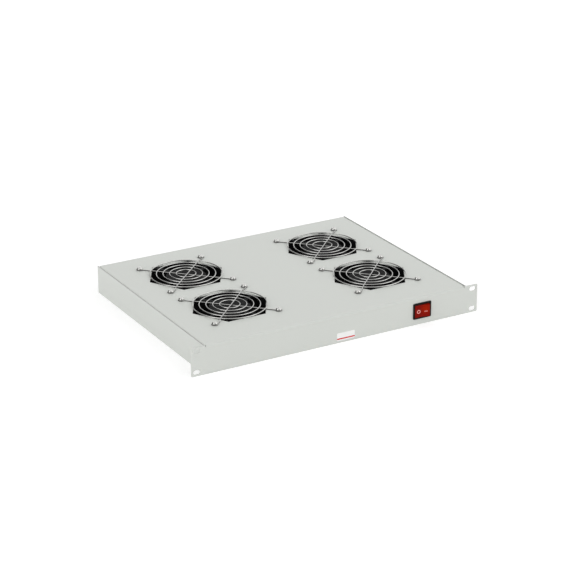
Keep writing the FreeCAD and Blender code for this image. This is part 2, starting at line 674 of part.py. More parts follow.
def make_guard():
    """Five wire rings welded between two crossed legs, each leg ending in an eye at both ends."""
    eye_at = FAN_HOLE * math.sqrt(2)
    leg_end = eye_at - EYE_R
    knee = RING_MAX + KNEE_OUT
    foot = RING_MAX + FOOT_OUT
    rings = [wire_ring(RING_MAX - RING_STEP * k, GUARD_RING_Z) for k in range(RING_COUNT)]
    lower = Part.makeCylinder(WIRE_R, 2 * leg_end, V(-leg_end, 0, GUARD_LEG_Z), X_AXIS)
    path = [V(-leg_end, 0, GUARD_LEG_Z), V(-foot, 0, GUARD_LEG_Z), V(-knee, 0, GUARD_TOP_LEG_Z),
            V(knee, 0, GUARD_TOP_LEG_Z), V(foot, 0, GUARD_LEG_Z), V(leg_end, 0, GUARD_LEG_Z)]
    upper = lead(path, WIRE_R)
    eyes = [wire_ring(EYE_R, GUARD_LEG_Z, x) for x in (-eye_at, eye_at)]
    lower_leg = turned(fuse([lower] + eyes), 135)
    upper_leg = turned(fuse([upper] + eyes), 45)
    return fuse([lower_leg, upper_leg] + rings)


def make_guard_screw(x, y):
    """Pan-head M4 screw through the eye, the cover and the fan's upper flange."""
    seat = TOP_Z + 2 * WIRE_R
    shoulder = seat + M4_HEAD_H - M4_CROWN
    crown = Part.makeCone(M4_HEAD_R, M4_HEAD_R - M4_CROWN, M4_CROWN, V(x, y, shoulder))
    head = cylinder(M4_HEAD_R, seat, shoulder, x, y)
    return fuse([head, crown, cylinder(M4_R, seat - M4_LENGTH, seat + SCREW_ROOT, x, y)])


def guard_screw_places():
    return [(x + dx, y + dy) for x, y in FAN_CENTRES for dx, dy in corner_offsets()]


# ---------------------------------------------------------------- rocker switch

def make_switch_housing():
    """Bezel on the panel, hollow body through the cut-out, snap wedges behind the sheet."""
    front = FRONT_Y - BEZEL_T
    half_w = SWITCH_HALF_W
    half_h = SWITCH_HALF_H
    bezel_w = CUTOUT_W / 2 + BEZEL_LAP_X
    bezel_h = CUTOUT_H / 2 + BEZEL_LAP_Z
    bezel = box(-bezel_w, bezel_w, front, FRONT_Y, -bezel_h, bezel_h)
    bezel = bezel.makeFillet(BEZEL_CORNER, edges_along(bezel, Y_AXIS, lambda p: True))
    bezel = bezel.makeChamfer(BEZEL_EDGE, [e for e in bezel.Edges if abs(e.CenterOfMass.y - front) < 0.01])
    body = box(-half_w, half_w, FRONT_Y - BEZEL_T / 2, SWITCH_DEPTH, -half_h, half_h)
    housing = fuse([bezel, body])
    cavity_w = half_w - SWITCH_WALL_X
    cavity_h = half_h - SWITCH_WALL_Z
    housing = housing.cut(box(-cavity_w, cavity_w, front - 1, SWITCH_FLOOR, -cavity_h, cavity_h))
    pivot = cylinder(PIVOT_R + PIVOT_FIT, -half_h - 1, half_h + 1, 0, ROCKER_PIVOT_Y)
    housing = housing.cut(pivot)
    root = half_w - SNAP_ROOT
    wedge = polygon([V(root, SNAP_FIT, -SNAP_W / 2), V(half_w + SNAP_RISE, SNAP_FIT, -SNAP_W / 2),
                     V(root, SNAP_LEN, -SNAP_W / 2)])
    wedge = wedge.extrude(V(0, 0, SNAP_W))
    housing = fuse([housing, wedge, wedge.mirror(V(0, 0, 0), X_AXIS)])
    for x, z in switch_tab_places():
        slit = box(x - TAB_W / 2, x + TAB_W / 2, SWITCH_FLOOR - 1, SWITCH_DEPTH + 1,
                   z - TAB_T / 2, z + TAB_T / 2)
        housing = housing.cut(slit)
    return moved(housing, SWITCH_X, 0)


def switch_tab_places():
    return [(sx * SWITCH_TAB_X, sz * SWITCH_TAB_Z) for sx in (-1, 1) for sz in (-1, 1)]


def make_rocker():
    """Rocker at rest with its left half pressed in: two flat halves that meet in a shallow valley."""
    rise = ROCKER_HALF * math.tan(math.radians(ROCKER_TILT))
    z = -ROCKER_HALF_H
    half = [(ROCKER_HALF, -ROCKER_FACE - rise), (ROCKER_HALF - 0.5, -2.5), (6, 1.5), (3, 4)]
    outline = [V(x, y, z) for x, y in half] + [V(-x, y, z) for x, y in reversed(half)]
    rocker = polygon(outline + [V(0, -ROCKER_FACE, z)]).extrude(V(0, 0, 2 * ROCKER_HALF_H))
    ends = edges_along(rocker, Z_AXIS, lambda p: p.y < -ROCKER_FACE - rise / 2)
    rocker = rocker.makeFillet(ROCKER_EDGE_R, ends)
    pins = cylinder(PIVOT_R, -ROCKER_HALF_H - PIVOT_LEN, ROCKER_HALF_H + PIVOT_LEN)
    rocker = turned(fuse([rocker, pins]), -ROCKER_TILT)
    return moved(rocker, SWITCH_X, ROCKER_PIVOT_Y)


def make_switch_terminals():
    """Four flat tabs through the rear of the switch body."""
    tab = box(-TAB_W / 2, TAB_W / 2, SWITCH_FLOOR, SWITCH_DEPTH + TAB_LEN, -TAB_T / 2, TAB_T / 2)
    tab = tab.cut(cylinder(TAB_HOLE_R, -TAB_T, TAB_T, 0, SWITCH_DEPTH + TAB_LEN / 2))
    return group([moved(tab, SWITCH_X + x, 0, z) for x, z in switch_tab_places()])


def make_switch_lamp():
    """Neon lamp under the rocker, lying on the floor of the switch body."""
    start = V(SWITCH_X - LAMP_LEN / 2, SWITCH_FLOOR - LAMP_LIFT - LAMP_R, 0)
    glass = Part.makeCylinder(LAMP_R, LAMP_LEN, start, X_AXIS)
    return glass.makeFillet(LAMP_END_R, [e for e in glass.Edges if len(e.Vertexes) == 1])


# ---------------------------------------------------------------- mains inlet

def make_inlet_body():
    """Three-pin appliance inlet: flange outside the rear wall, deep socket with two bevelled corners."""
    flange_w = INLET_HOLE_PITCH / 2 + INLET_EDGE
    flange_h = INLET_H / 2 + INLET_FLANGE_LAP
    flange = box(-flange_w, flange_w, REAR_Y, INLET_FACE_Y, -flange_h, flange_h)
    flange = flange.makeFillet(INLET_EDGE, edges_along(flange, Y_AXIS, lambda p: True))
    body = box(-INLET_W / 2, INLET_W / 2, INLET_BACK_Y, REAR_Y + 1, -INLET_H / 2, INLET_H / 2)
    inlet = fuse([flange, body])
    w = INLET_W / 2 - INLET_WALL_X
    h = INLET_H / 2 - INLET_WALL_Z
    c = INLET_CUT
    y0 = INLET_FACE_Y - INLET_CAVITY_D
    mouth = polygon([V(-w, y0, -h), V(w, y0, -h), V(w, y0, h - c), V(w - c, y0, h), V(-w + c, y0, h),
                     V(-w, y0, h - c)])
    inlet = inlet.cut(mouth.extrude(V(0, INLET_CAVITY_D + 1, 0)))
    for dx in (-INLET_HOLE_PITCH / 2, INLET_HOLE_PITCH / 2):
        hole = Part.makeCylinder(M3_R + HOLE_FIT, INLET_FLANGE_T + 2, V(dx, REAR_Y - 1, 0), Y_AXIS)
        sink_r = M3_HEAD_R + HEAD_FIT
        sink = Part.makeCone(sink_r - BASE_T, sink_r, BASE_T, V(dx, INLET_FACE_Y - BASE_T, 0), Y_AXIS)
        inlet = inlet.cut(fuse([hole, sink]))
    for x, z in inlet_pin_places():
        slit = box(x - PIN_W / 2, x + PIN_W / 2, INLET_BACK_Y - 1, y0 + 1, z - PIN_H / 2, z + PIN_H / 2)
        inlet = inlet.cut(slit)
    return moved(inlet, INLET_X, 0)


def inlet_pin_places():
    return [(-PIN_SPREAD, -PIN_RISE), (0.0, PIN_RISE), (PIN_SPREAD, -PIN_RISE)]


def make_inlet_pins():
    """Earth, live and neutral pins, each with its soldering tab behind the body."""
    tip_y = INLET_FACE_Y - INLET_CAVITY_D + PIN_LEN
    pin = box(-PIN_W / 2, PIN_W / 2, INLET_BACK_Y, tip_y, -PIN_H / 2, PIN_H / 2)
    pin = pin.makeChamfer(PIN_POINT, [e for e in pin.Edges if e.CenterOfMass.y > tip_y - 0.01])
    tab = box(-TAB_T / 2, TAB_T / 2, INLET_BACK_Y - TAB_LEN, INLET_BACK_Y, -TAB_W / 2, TAB_W / 2)
    pin = fuse([pin, tab])
    return group([moved(pin, INLET_X + x, 0, z) for x, z in inlet_pin_places()])


def make_inlet_screw(side):
    """Countersunk M3 screw through the inlet's flange and the rear wall."""
    x = INLET_X + side * INLET_HOLE_PITCH / 2
    head = Part.makeCone(M3_HEAD_R - BASE_T, M3_HEAD_R, BASE_T, V(x, INLET_FACE_Y - BASE_T, 0), Y_AXIS)
    length = INLET_FLANGE_T + COVER_T + M3_NUT_H + SCREW_END
    return fuse([head, Part.makeCylinder(M3_R, length, V(x, INLET_FACE_Y - length, 0), Y_AXIS)])


def make_inlet_nut(side):
    nut = make_nut(M3_NUT_AF, M3_NUT_H, M3_R + THREAD_FIT, 0, 0, 0, 30)
    nut.rotate(V(0, 0, 0), X_AXIS, 90)
    return moved(nut, INLET_X + side * INLET_HOLE_PITCH / 2, REAR_IN_Y)


# ---------------------------------------------------------------- wiring

def block_screw_places():
    return [(0.0, BLOCK_Y - POLE_PITCH), (0.0, BLOCK_Y + POLE_PITCH)]


def pole_y(number):
    return BLOCK_Y + POLE_PITCH * (number - (BLOCK_POLES - 1) / 2)


def make_terminal_block():
    """Row of insulated terminals on the floor between the fans, wire holes on both long sides."""
    half = BLOCK_L / 2
    top = FLOOR_Z + BLOCK_H
    block = box(-BLOCK_W / 2, BLOCK_W / 2, BLOCK_Y - half, BLOCK_Y + half, FLOOR_Z, top)
    cuts = []
    for number in range(1, BLOCK_POLES):
        y = pole_y(number) - POLE_PITCH / 2
        cuts.append(box(-BLOCK_W, BLOCK_W, y - GROOVE_W / 2, y + GROOVE_W / 2, top - GROOVE_H, top + 1))
    for number in range(BLOCK_POLES):
        y = pole_y(number)
        for side in (-1, 1):
            start = V(side * (BLOCK_W / 2 + 1), y, ENTRY_LEVEL)
            cuts.append(Part.makeCylinder(ENTRY_R, ENTRY_DEPTH + 1, start, V(-side, 0, 0)))
            cuts.append(cylinder(POLE_SCREW_R + SEAT, top - POLE_WELL, top + 1, side * POLE_SCREW_X, y))
    for x, y in block_screw_places():
        cuts.append(cylinder(M3_R + HOLE_FIT, FLOOR_Z - 1, top + 1, x, y))
        cuts.append(cylinder(M3_HEAD_R + HOLE_FIT, FLOOR_Z + BLOCK_WELL, top + 1, x, y))
    return block.cut(group(cuts))


def make_terminal_screws():
    """Slotted screws in the wells of the terminals."""
    z = FLOOR_Z + BLOCK_H - POLE_WELL
    top = z + POLE_SCREW_H
    screw = cylinder(POLE_SCREW_R, z, top)
    slit = box(-BLOCK_W, BLOCK_W, -SLIT_W / 2, SLIT_W / 2, top - SLIT_DEPTH, top + 1)
    screw = screw.cut(slit)
    sides = (-POLE_SCREW_X, POLE_SCREW_X)
    return group([moved(screw, x, pole_y(number)) for number in range(BLOCK_POLES) for x in sides])


def make_block_screws():
    """Two cheese-head M3 screws that hold the block to the base."""
    seat = FLOOR_Z + BLOCK_WELL
    head = cylinder(M3_HEAD_R, seat, seat + BLOCK_HEAD_H)
    screw = fuse([head, cylinder(M3_R, BASE_Z, seat + SCREW_ROOT)])
    return group([moved(screw, x, y) for x, y in block_screw_places()])


def make_sleeve(x, y, z, way, tab_lies):
    """Push-on sleeve over a tab; way is +1 where the tab points to the rear, tab_lies where it is level."""
    w, h = (SLEEVE_W, SLEEVE_H) if tab_lies else (SLEEVE_H, SLEEVE_W)
    tab_w, tab_h = (TAB_W, TAB_T) if tab_lies else (TAB_T, TAB_W)
    half_w = tab_w / 2 + TAB_FIT
    half_h = tab_h / 2 + TAB_FIT
    near = y + way * LEAD_GAP
    y0, y1 = sorted((near, near + way * SLEEVE_LEN))
    t0, t1 = sorted((y - way, y + way * (TAB_LEN + LEAD_GAP)))
    sleeve = box(x - w / 2, x + w / 2, y0, y1, z - h / 2, z + h / 2)
    sleeve = sleeve.makeFillet(SLEEVE_EDGE_R, edges_along(sleeve, Y_AXIS, lambda p: True))
    return sleeve.cut(box(x - half_w, x + half_w, t0, t1, z - half_h, z + half_h))


def make_sleeves():
    sleeves = [make_sleeve(SWITCH_X + x, SWITCH_DEPTH, z, 1, True) for x, z in switch_tab_places()]
    sleeves += [make_sleeve(INLET_X + x, INLET_BACK_Y, z, -1, False) for x, z in inlet_pin_places()]
    return group(sleeves)


def make_supply_leads():
    """Live and neutral from the inlet to the switch, one above the other in the lane by the right wall."""
    leads = []
    front = ((0.0, 0.0, 0.0), (0.0, 0.13, 0.0), (0.06, 0.26, 0.05), (0.18, 0.34, 0.15), (0.34, 0.355, 0.3),
             (0.575, 0.37, 0.6), (0.79, 0.48, 0.85), (0.94, 0.72, 0.97), (1.0, 1.0, 1.0))
    rear = ((0.0, 0.0, 0.0), (0.1, 0.25, 0.06), (0.48, 0.5, 0.35), (0.86, 0.72, 0.78), (1.0, 0.88, 1.0),
            (1.0, 1.0, 1.0))
    for level, start_z, pin in ((1, SWITCH_TAB_Z, 0), (0, -SWITCH_TAB_Z, 2)):
        lane_z = LANE_Z + level * LANE_STEP
        pin_x, pin_z = inlet_pin_places()[pin]
        start = V(SWITCH_X + SWITCH_TAB_X, SWITCH_LEAD_Y, start_z)
        lane_start = V(LANE_X, CLIP_Y[0] - CLIP_REACH, lane_z)
        lane_end = V(LANE_X, CLIP_Y[-1] + CLIP_REACH, lane_z)
        end = V(INLET_X + pin_x, INLET_LEAD_Y, pin_z)
        points = run_between(start, lane_start, front)
        points += [V(LANE_X + LANE_SLACK * (-1) ** k, y, lane_z) for k, y in enumerate(lane_middles())]
        points += run_between(lane_end, end, rear)
        leads.append(lead(points, LEAD_R))
    return group(leads)


def lane_middles():
    return [(a + b) / 2 for a, b in zip(CLIP_Y, CLIP_Y[1:])]


def make_switched_leads():
    """Live and neutral from the switch along the front and down the middle to the terminal block."""
    leads = []
    front = ((0.0, 0.0, 0.0), (0.0, 0.16, 0.0), (0.03, 0.32, 0.05), (0.1, 0.41, 0.15), (0.19, 0.43, 0.3),
             (0.36, 0.39, 0.65), (0.55, 0.36, 0.95), (0.74, 0.44, 1.0), (0.89, 0.67, 1.0), (1.0, 1.1, 1.0))
    middle = ((0.09, 0.22, 0.0), (0.16, 0.6, 0.0), (0.26, 0.8, 0.06), (0.45, 0.94, 0.5), (0.74, 0.99, 1.0),
              (1.0, 1.0, 1.0))
    for level, start_z, pole in ((0, -SWITCH_TAB_Z, 0), (1, SWITCH_TAB_Z, 1)):
        start = V(SWITCH_X - SWITCH_TAB_X, SWITCH_LEAD_Y, start_z)
        corner = V(FAN_X - FAN_HALF - CORNER_ROOM, FAN_Y[0] - FAN_HALF + CORNER_RUN,
                   LANE_Z + level * LANE_STEP)
        end = V(BLOCK_W / 2 - ENTRY_DEPTH + LEAD_GAP, pole_y(pole), ENTRY_LEVEL)
        points = run_between(start, corner, front) + run_between(corner, end, middle)
        leads.append(lead(points, LEAD_R))
    return group(leads)


def make_fan_leads(number):
    """The pair of thin leads from a fan's inner corner down to its two poles of the terminal block."""
    x_fan, y_fan = FAN_CENTRES[number - 1]
    side = 1 if x_fan > 0 else -1
    inward = 1 if y_fan < BLOCK_Y else -1
    poles = (2, 3) if inward > 0 else (5, 4)
    drop = ((0.0, 0.0, 0.0), (0.13, 0.0, 0.0), (0.29, 0.17, 0.18), (0.44, 0.42, 0.43), (0.59, 0.66, 0.72),
            (0.74, 0.88, 0.94), (0.88, 0.99, 1.0), (1.0, 1.0, 1.0))
    leads = []
    for k, pole in enumerate(poles):
        start_y = y_fan + inward * (FAN_HALF - FAN_CORNER - FAN_LEAD_INSET + FAN_LEAD_STEP * k)
        start = V(side * (FAN_X - FAN_HALF), start_y, FAN_TOP - FLANGE_T / 2)
        end = V(side * (BLOCK_W / 2 - ENTRY_DEPTH + LEAD_GAP), pole_y(pole), ENTRY_LEVEL)
        leads.append(lead(run_between(start, end, drop), FAN_LEAD_R))
    return group(leads)


def make_earth_lead():
    """Protective earth from the inlet's middle tab, over the neutral lead, to the stud's lug."""
    pin_x, pin_z = inlet_pin_places()[1]
    start = V(INLET_X + pin_x, INLET_LEAD_Y, pin_z)
    end = V(EARTH_X, EARTH_Y + LUG_R + BARREL_LEN, FLOOR_Z + BARREL_R)
    drop = ((0.0, 0.0, 0.0), (0.0, 0.185, 0.0), (0.18, 0.37, 0.05), (0.51, 0.52, 0.255), (0.82, 0.645, 0.56),
            (1.0, 0.815, 1.0), (1.0, 1.0, 1.0))
    return lead(run_between(start, end, drop), LEAD_R)


def make_earth_lug():
    """Ring tongue on the stud, with the crimped barrel that holds the earth lead."""
    tongue = cylinder(LUG_R, FLOOR_Z, FLOOR_Z + LUG_T, EARTH_X, EARTH_Y)
    neck = box(EARTH_X - LUG_NECK_W / 2, EARTH_X + LUG_NECK_W / 2, EARTH_Y, EARTH_Y + LUG_R + 1,
               FLOOR_Z, FLOOR_Z + LUG_T)
    start = V(EARTH_X, EARTH_Y + LUG_R, FLOOR_Z + BARREL_R)
    barrel = Part.makeCylinder(BARREL_R, BARREL_LEN, start, Y_AXIS)
    lug = fuse([tongue, neck, barrel])
    return lug.cut(cylinder(M4_R + HOLE_FIT, FLOOR_Z - 1, FLOOR_Z + LUG_T + 1, EARTH_X, EARTH_Y))


def make_cable_clips():
    """Stick-on saddles that hold the supply leads in their lane."""
    clips = []
    half = LEAD_R + LEAD_GAP
    inner_top = LANE_Z + LANE_STEP + half
    side = half + CLIP_WALL
    for y in CLIP_Y:
        y0 = y - CLIP_LEN / 2
        y1 = y + CLIP_LEN / 2
        foot = box(LANE_X - CLIP_FOOT / 2, LANE_X + CLIP_FOOT / 2, y0, y1, FLOOR_Z, FLOOR_Z + CLIP_FOOT_T)
        outer = box(LANE_X - side, LANE_X + side, y0, y1, FLOOR_Z, inner_top + CLIP_WALL)
        outer = outer.makeFillet(half, edges_along(outer, Y_AXIS, lambda p: p.z > inner_top))
        inner = box(LANE_X - half, LANE_X + half, y0 - 1, y1 + 1, FLOOR_Z + CLIP_FOOT_T, inner_top)
        clips.append(fuse([foot, outer]).cut(inner))
    return group(clips)


def make_cover_nuts():
    nut = make_nut(M3_NUT_AF, M3_NUT_H, M3_R + THREAD_FIT, 0, 0, FLOOR_Z + COVER_T)
    return group([moved(nut, x, y) for x, y in lip_screw_places()])


def make_guard_nuts():
    nut = make_nut(M4_NUT_AF, M4_NUT_H, M4_R + THREAD_FIT, 0, 0, FAN_TOP - FLANGE_T - M4_NUT_H, 45)
    return group([moved(nut, x, y) for x, y in guard_screw_places()])


def export_all():
    os.makedirs("parts", exist_ok=True)
    export(make_cover(), "cover")
    export(make_base(), "base")
    export(group([make_cover_screw(x, y) for x, y in lip_screw_places()]), "cover_screws")
    export(make_cover_nuts(), "cover_nuts")
    pieces = {
        "fan_frame": make_fan_frame(),
        "impeller": make_impeller(),
        "shaft": make_shaft(),
        "bearings": make_bearings(),
        "stator": make_stator(),
        "rotor_ring": make_rotor_ring(),
        "finger_guard": make_guard(),
    }
    for number, (x, y) in enumerate(FAN_CENTRES, 1):
        for name, shape in pieces.items():
            export(moved(shape, x, y), "%s_%d" % (name, number))
    export(group([make_guard_screw(x, y) for x, y in guard_screw_places()]), "guard_screws")
    export(make_guard_nuts(), "guard_nuts")
    export(make_switch_housing(), "switch_housing")
    export(make_rocker(), "switch_rocker")
    export(make_switch_terminals(), "switch_terminals")
    export(make_switch_lamp(), "switch_lamp")
    export(make_inlet_body(), "inlet_body")
    export(make_inlet_pins(), "inlet_pins")
    export(group([make_inlet_screw(side) for side in (-1, 1)]), "inlet_screws")
    export(group([make_inlet_nut(side) for side in (-1, 1)]), "inlet_nuts")
    export(make_terminal_block(), "terminal_block")
    export(make_terminal_screws(), "terminal_screws")
    export(make_block_screws(), "block_screws")
    export(make_sleeves(), "lead_sleeves")
    export(make_supply_leads(), "supply_leads")
    export(make_switched_leads(), "switched_leads")
    for number in range(1, len(FAN_CENTRES) + 1):
        export(make_fan_leads(number), "fan_leads_%d" % number)
    export(make_earth_lead(), "earth_lead")
    export(make_earth_lug(), "earth_lug")
    export(cylinder(M4_R, BASE_Z, BASE_Z + STUD_LEN, EARTH_X, EARTH_Y), "earth_stud")
    nut = make_nut(M4_NUT_AF, M4_NUT_H, M4_R + THREAD_FIT, EARTH_X, EARTH_Y, FLOOR_Z + LUG_T)
    export(nut, "earth_nut")
    export(make_cable_clips(), "cable_clips")


export_all()
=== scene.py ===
import json
import math

import bpy
from mathutils import Matrix, Vector


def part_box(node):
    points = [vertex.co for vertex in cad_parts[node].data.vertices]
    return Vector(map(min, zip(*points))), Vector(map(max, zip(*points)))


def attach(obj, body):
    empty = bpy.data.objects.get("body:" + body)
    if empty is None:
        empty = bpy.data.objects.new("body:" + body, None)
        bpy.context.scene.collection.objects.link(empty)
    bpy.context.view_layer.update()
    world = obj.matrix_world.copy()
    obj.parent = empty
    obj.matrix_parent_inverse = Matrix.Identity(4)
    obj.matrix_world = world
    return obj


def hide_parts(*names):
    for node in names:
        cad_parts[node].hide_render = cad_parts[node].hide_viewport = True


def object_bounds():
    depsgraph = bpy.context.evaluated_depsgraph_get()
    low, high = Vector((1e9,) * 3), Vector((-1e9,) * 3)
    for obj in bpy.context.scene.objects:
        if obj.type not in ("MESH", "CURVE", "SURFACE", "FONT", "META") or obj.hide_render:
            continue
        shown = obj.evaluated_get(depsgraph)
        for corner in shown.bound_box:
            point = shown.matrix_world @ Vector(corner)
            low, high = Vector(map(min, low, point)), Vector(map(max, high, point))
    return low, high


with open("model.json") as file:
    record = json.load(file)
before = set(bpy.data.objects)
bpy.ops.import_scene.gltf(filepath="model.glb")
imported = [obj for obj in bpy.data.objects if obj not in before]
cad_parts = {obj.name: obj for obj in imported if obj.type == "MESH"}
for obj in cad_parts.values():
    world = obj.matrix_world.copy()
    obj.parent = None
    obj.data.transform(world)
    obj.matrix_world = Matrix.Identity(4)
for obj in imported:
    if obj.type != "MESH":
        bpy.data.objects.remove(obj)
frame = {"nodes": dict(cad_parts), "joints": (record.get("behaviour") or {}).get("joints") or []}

# A one-unit 19-inch fan tray: folded case, four fans under wire guards, rocker switch, mains inlet.
# Metres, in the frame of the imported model: +X right, +Y to the rear, +Z up, the way the fans blow.

MM = 0.001
cad_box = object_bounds()
nodes = frame["nodes"]
scene = bpy.context.scene
scene.view_settings.view_transform = "Standard"


# ------------------------------------------------------------------ the camera
# A long lens, above and to the left of the front panel, so that the top with its four guards, the
# front panel and a narrow strip of the left wall show.
CAMERA_AZIMUTH = math.radians(-29.66)
CAMERA_ELEVATION = math.radians(22.11)
CAMERA_ROLL = math.radians(-0.16)
CAMERA_DISTANCE = 3.099
CAMERA_TARGET = Vector((-0.0009, 0.1500, 0.0127))
CAMERA_LENS = 129.1          # mm, on the sensor below
CAMERA_SENSOR = 36.0
CAMERA_SIGHT = 50.0

towards_camera = Vector((math.sin(CAMERA_AZIMUTH) * math.cos(CAMERA_ELEVATION),
                         -math.cos(CAMERA_AZIMUTH) * math.cos(CAMERA_ELEVATION),
                         math.sin(CAMERA_ELEVATION)))
camera = bpy.data.objects.new("camera", bpy.data.cameras.new("camera"))
scene.collection.objects.link(camera)
camera.data.sensor_width = CAMERA_SENSOR
camera.data.lens = CAMERA_LENS
camera.data.clip_end = CAMERA_SIGHT
aim = (-towards_camera).to_track_quat("-Z", "Y").to_matrix().to_4x4()
camera.matrix_world = (Matrix.Translation(CAMERA_TARGET + towards_camera * CAMERA_DISTANCE) @ aim
                       @ Matrix.Rotation(CAMERA_ROLL, 4, "Z"))
scene.camera = camera


# ------------------------------------------------------------------ the case
# Two folded steel sheets: the cover with top, front panel, ears and rear wall, and the base with the
# floor and both side walls.  Bent from blanks, then powder-coated light grey with a fine texture.
POWDER_GREY = (0.631, 0.651, 0.617)
BEND_PAINTED_SHADE = (0.580, 0.599, 0.568)      # painted shade on the bend between the top and the front panel, which keeps the bend from showing lighter
BEND_GAIN = -2.0
# Painted shade along each seam, where the cover lies inside a side wall: its place across the case,
# and the shade painted on the wall's top edge there.
SEAM_PAINTED_SHADES = ((-220.4 * MM, (0.37, 0.37, 0.355)), (220.4 * MM, (0.05, 0.05, 0.048)))
SEAM_HALF = 0.65 * MM
SEAM_ALONG = (176.0 * MM, 175.9 * MM)   # middle and half length
SEAM_UP = (22.0 * MM, 0.03 * MM)        # level and half height


def math_node(tree, operation, *values):
    """The result of a math node whose inputs are other nodes' outputs or plain numbers."""
    node = tree.nodes.new("ShaderNodeMath")
    node.operation = operation
    for socket, value in zip(node.inputs, values):
        if isinstance(value, bpy.types.NodeSocket):
            tree.links.new(value, socket)
        else:
            socket.default_value = value
    return node.outputs[0]


def add_socket(tree, name, way, kind, default=None):
    made = tree.interface.new_socket(name=name, in_out=way, socket_type=kind)
    if default is not None:
        made.default_value = default


def fine_grain_group():
    """Grain shared by every finish: a drifting tint, a varied roughness and a bump height."""
    tree = bpy.data.node_groups.new("fine_grain", "ShaderNodeTree")
    add_socket(tree, "Colour", "INPUT", "NodeSocketColor", (0.5, 0.5, 0.5, 1))
    for name, default in (("Tint Spread", 0.03), ("Roughness", 0.4), ("Roughness Spread", 0.05),
                          ("Grain Scale", 1500.0), ("Cloud Scale", 18.0)):
        add_socket(tree, name, "INPUT", "NodeSocketFloat", default)
    add_socket(tree, "Colour", "OUTPUT", "NodeSocketColor")
    add_socket(tree, "Roughness", "OUTPUT", "NodeSocketFloat")
    add_socket(tree, "Height", "OUTPUT", "NodeSocketFloat")
    link = tree.links.new
    given = tree.nodes.new("NodeGroupInput")
    result = tree.nodes.new("NodeGroupOutput")
    place = tree.nodes.new("ShaderNodeTexCoord")
    grain = tree.nodes.new("ShaderNodeTexNoise")
    cloud = tree.nodes.new("ShaderNodeTexNoise")
    for noise, scale in ((grain, "Grain Scale"), (cloud, "Cloud Scale")):
        noise.inputs["Detail"].default_value = 2.0
        link(place.outputs["Object"], noise.inputs["Vector"])
        link(given.outputs[scale], noise.inputs["Scale"])
    both = math_node(tree, "ADD", grain.outputs["Fac"], cloud.outputs["Fac"])
    swing = math_node(tree, "SUBTRACT", both, 1.0)
    tint = tree.nodes.new("ShaderNodeVectorMath")
    tint.operation = "SCALE"
    link(given.outputs["Colour"], tint.inputs[0])
    link(math_node(tree, "MULTIPLY_ADD", swing, given.outputs["Tint Spread"], 1.0),
         tint.inputs["Scale"])
    link(tint.outputs[0], result.inputs["Colour"])
    link(math_node(tree, "MULTIPLY_ADD", swing, given.outputs["Roughness Spread"],
                   given.outputs["Roughness"]), result.inputs["Roughness"])
    link(grain.outputs["Fac"], result.inputs["Height"])
    return tree


fine_grain = fine_grain_group()


def finish(name, colour, roughness, metallic=0.0, shine=0.5, tint=0.03, spread=0.05, grain=1500.0,
           cloud=18.0, bump=0.1, depth=0.02):
    """A surface whose colour, roughness and bump come from the shared grain.

    Tint and spread are how far colour and roughness drift, grain and cloud the fine and the broad
    pattern's scale, and bump and depth (in mm) the height of the grain."""
    material = bpy.data.materials.new(name)
    material.use_nodes = True
    tree = material.node_tree
    shader = tree.nodes["Principled BSDF"]
    surface = tree.nodes.new("ShaderNodeGroup")
    surface.node_tree = fine_grain
    for socket, value in (("Colour", (*colour, 1)), ("Tint Spread", tint), ("Roughness", roughness),
                          ("Roughness Spread", spread), ("Grain Scale", grain),
                          ("Cloud Scale", cloud)):
        surface.inputs[socket].default_value = value
    relief = tree.nodes.new("ShaderNodeBump")
    relief.inputs["Strength"].default_value = bump
    relief.inputs["Distance"].default_value = depth * MM
    tree.links.new(surface.outputs["Colour"], shader.inputs["Base Color"])
    tree.links.new(surface.outputs["Roughness"], shader.inputs["Roughness"])
    tree.links.new(surface.outputs["Height"], relief.inputs["Height"])
    tree.links.new(relief.outputs["Normal"], shader.inputs["Normal"])
    shader.inputs["Metallic"].default_value = metallic
    shader.inputs["Specular IOR Level"].default_value = shine
    return material


def dress(material, *names):
    """Gives CAD nodes their material."""
    for name in names:
        mesh = nodes[name].data
        mesh.materials.clear()
        mesh.materials.append(material)


powder_coat = finish("powder_coat", POWDER_GREY, 0.45, tint=0.02, grain=900.0, cloud=9.0, bump=0.25,
                     depth=0.03)
dress(powder_coat, "cover", "base")


def clear_selection():
    bpy.ops.object.select_all(action="DESELECT")


def choose(*pieces):
    """Selects these pieces alone; the first one is active."""
    clear_selection()
    for piece in pieces:
        piece.select_set(True)
    bpy.context.view_layer.objects.active = pieces[0]


def open_faces(piece, wanted):
    """Edit mode, with only the faces selected whose centre and normal pass."""
    choose(piece)
    for face in piece.data.polygons:
        face.select = False
    bpy.ops.object.mode_set(mode="EDIT")
    bpy.ops.mesh.select_mode(type="FACE")
    bpy.ops.mesh.select_all(action="DESELECT")
    bpy.ops.object.mode_set(mode="OBJECT")
    for face in piece.data.polygons:
        face.select = wanted(face.center, face.normal)
    bpy.ops.object.mode_set(mode="EDIT")


def open_edges(piece, wanted):
    """Edit mode, with only the edges selected whose middle passes."""
    open_faces(piece, lambda centre, normal: False)
    bpy.ops.mesh.select_mode(type="EDGE")
    bpy.ops.object.mode_set(mode="OBJECT")
    points = piece.data.vertices
    for edge in piece.data.edges:
        edge.select = wanted((points[edge.vertices[0]].co + points[edge.vertices[1]].co) / 2)
    bpy.ops.object.mode_set(mode="EDIT")


def close_edit():
    bpy.ops.object.mode_set(mode="OBJECT")


def settle(piece):
    """Puts the piece's place, turn and scale into its mesh."""
    choose(piece)
    bpy.ops.object.transform_apply(location=True, rotation=True, scale=True)


def complete(piece, material, body, stands_for=(), smooth=35):
    """Smooth shading, material and place in the model of a finished piece."""
    choose(piece)
    bpy.ops.object.shade_smooth_by_angle(angle=math.radians(smooth))
    piece.data.materials.clear()
    piece.data.materials.append(material)
    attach(piece, body)
    if stands_for:
        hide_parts(*stands_for)


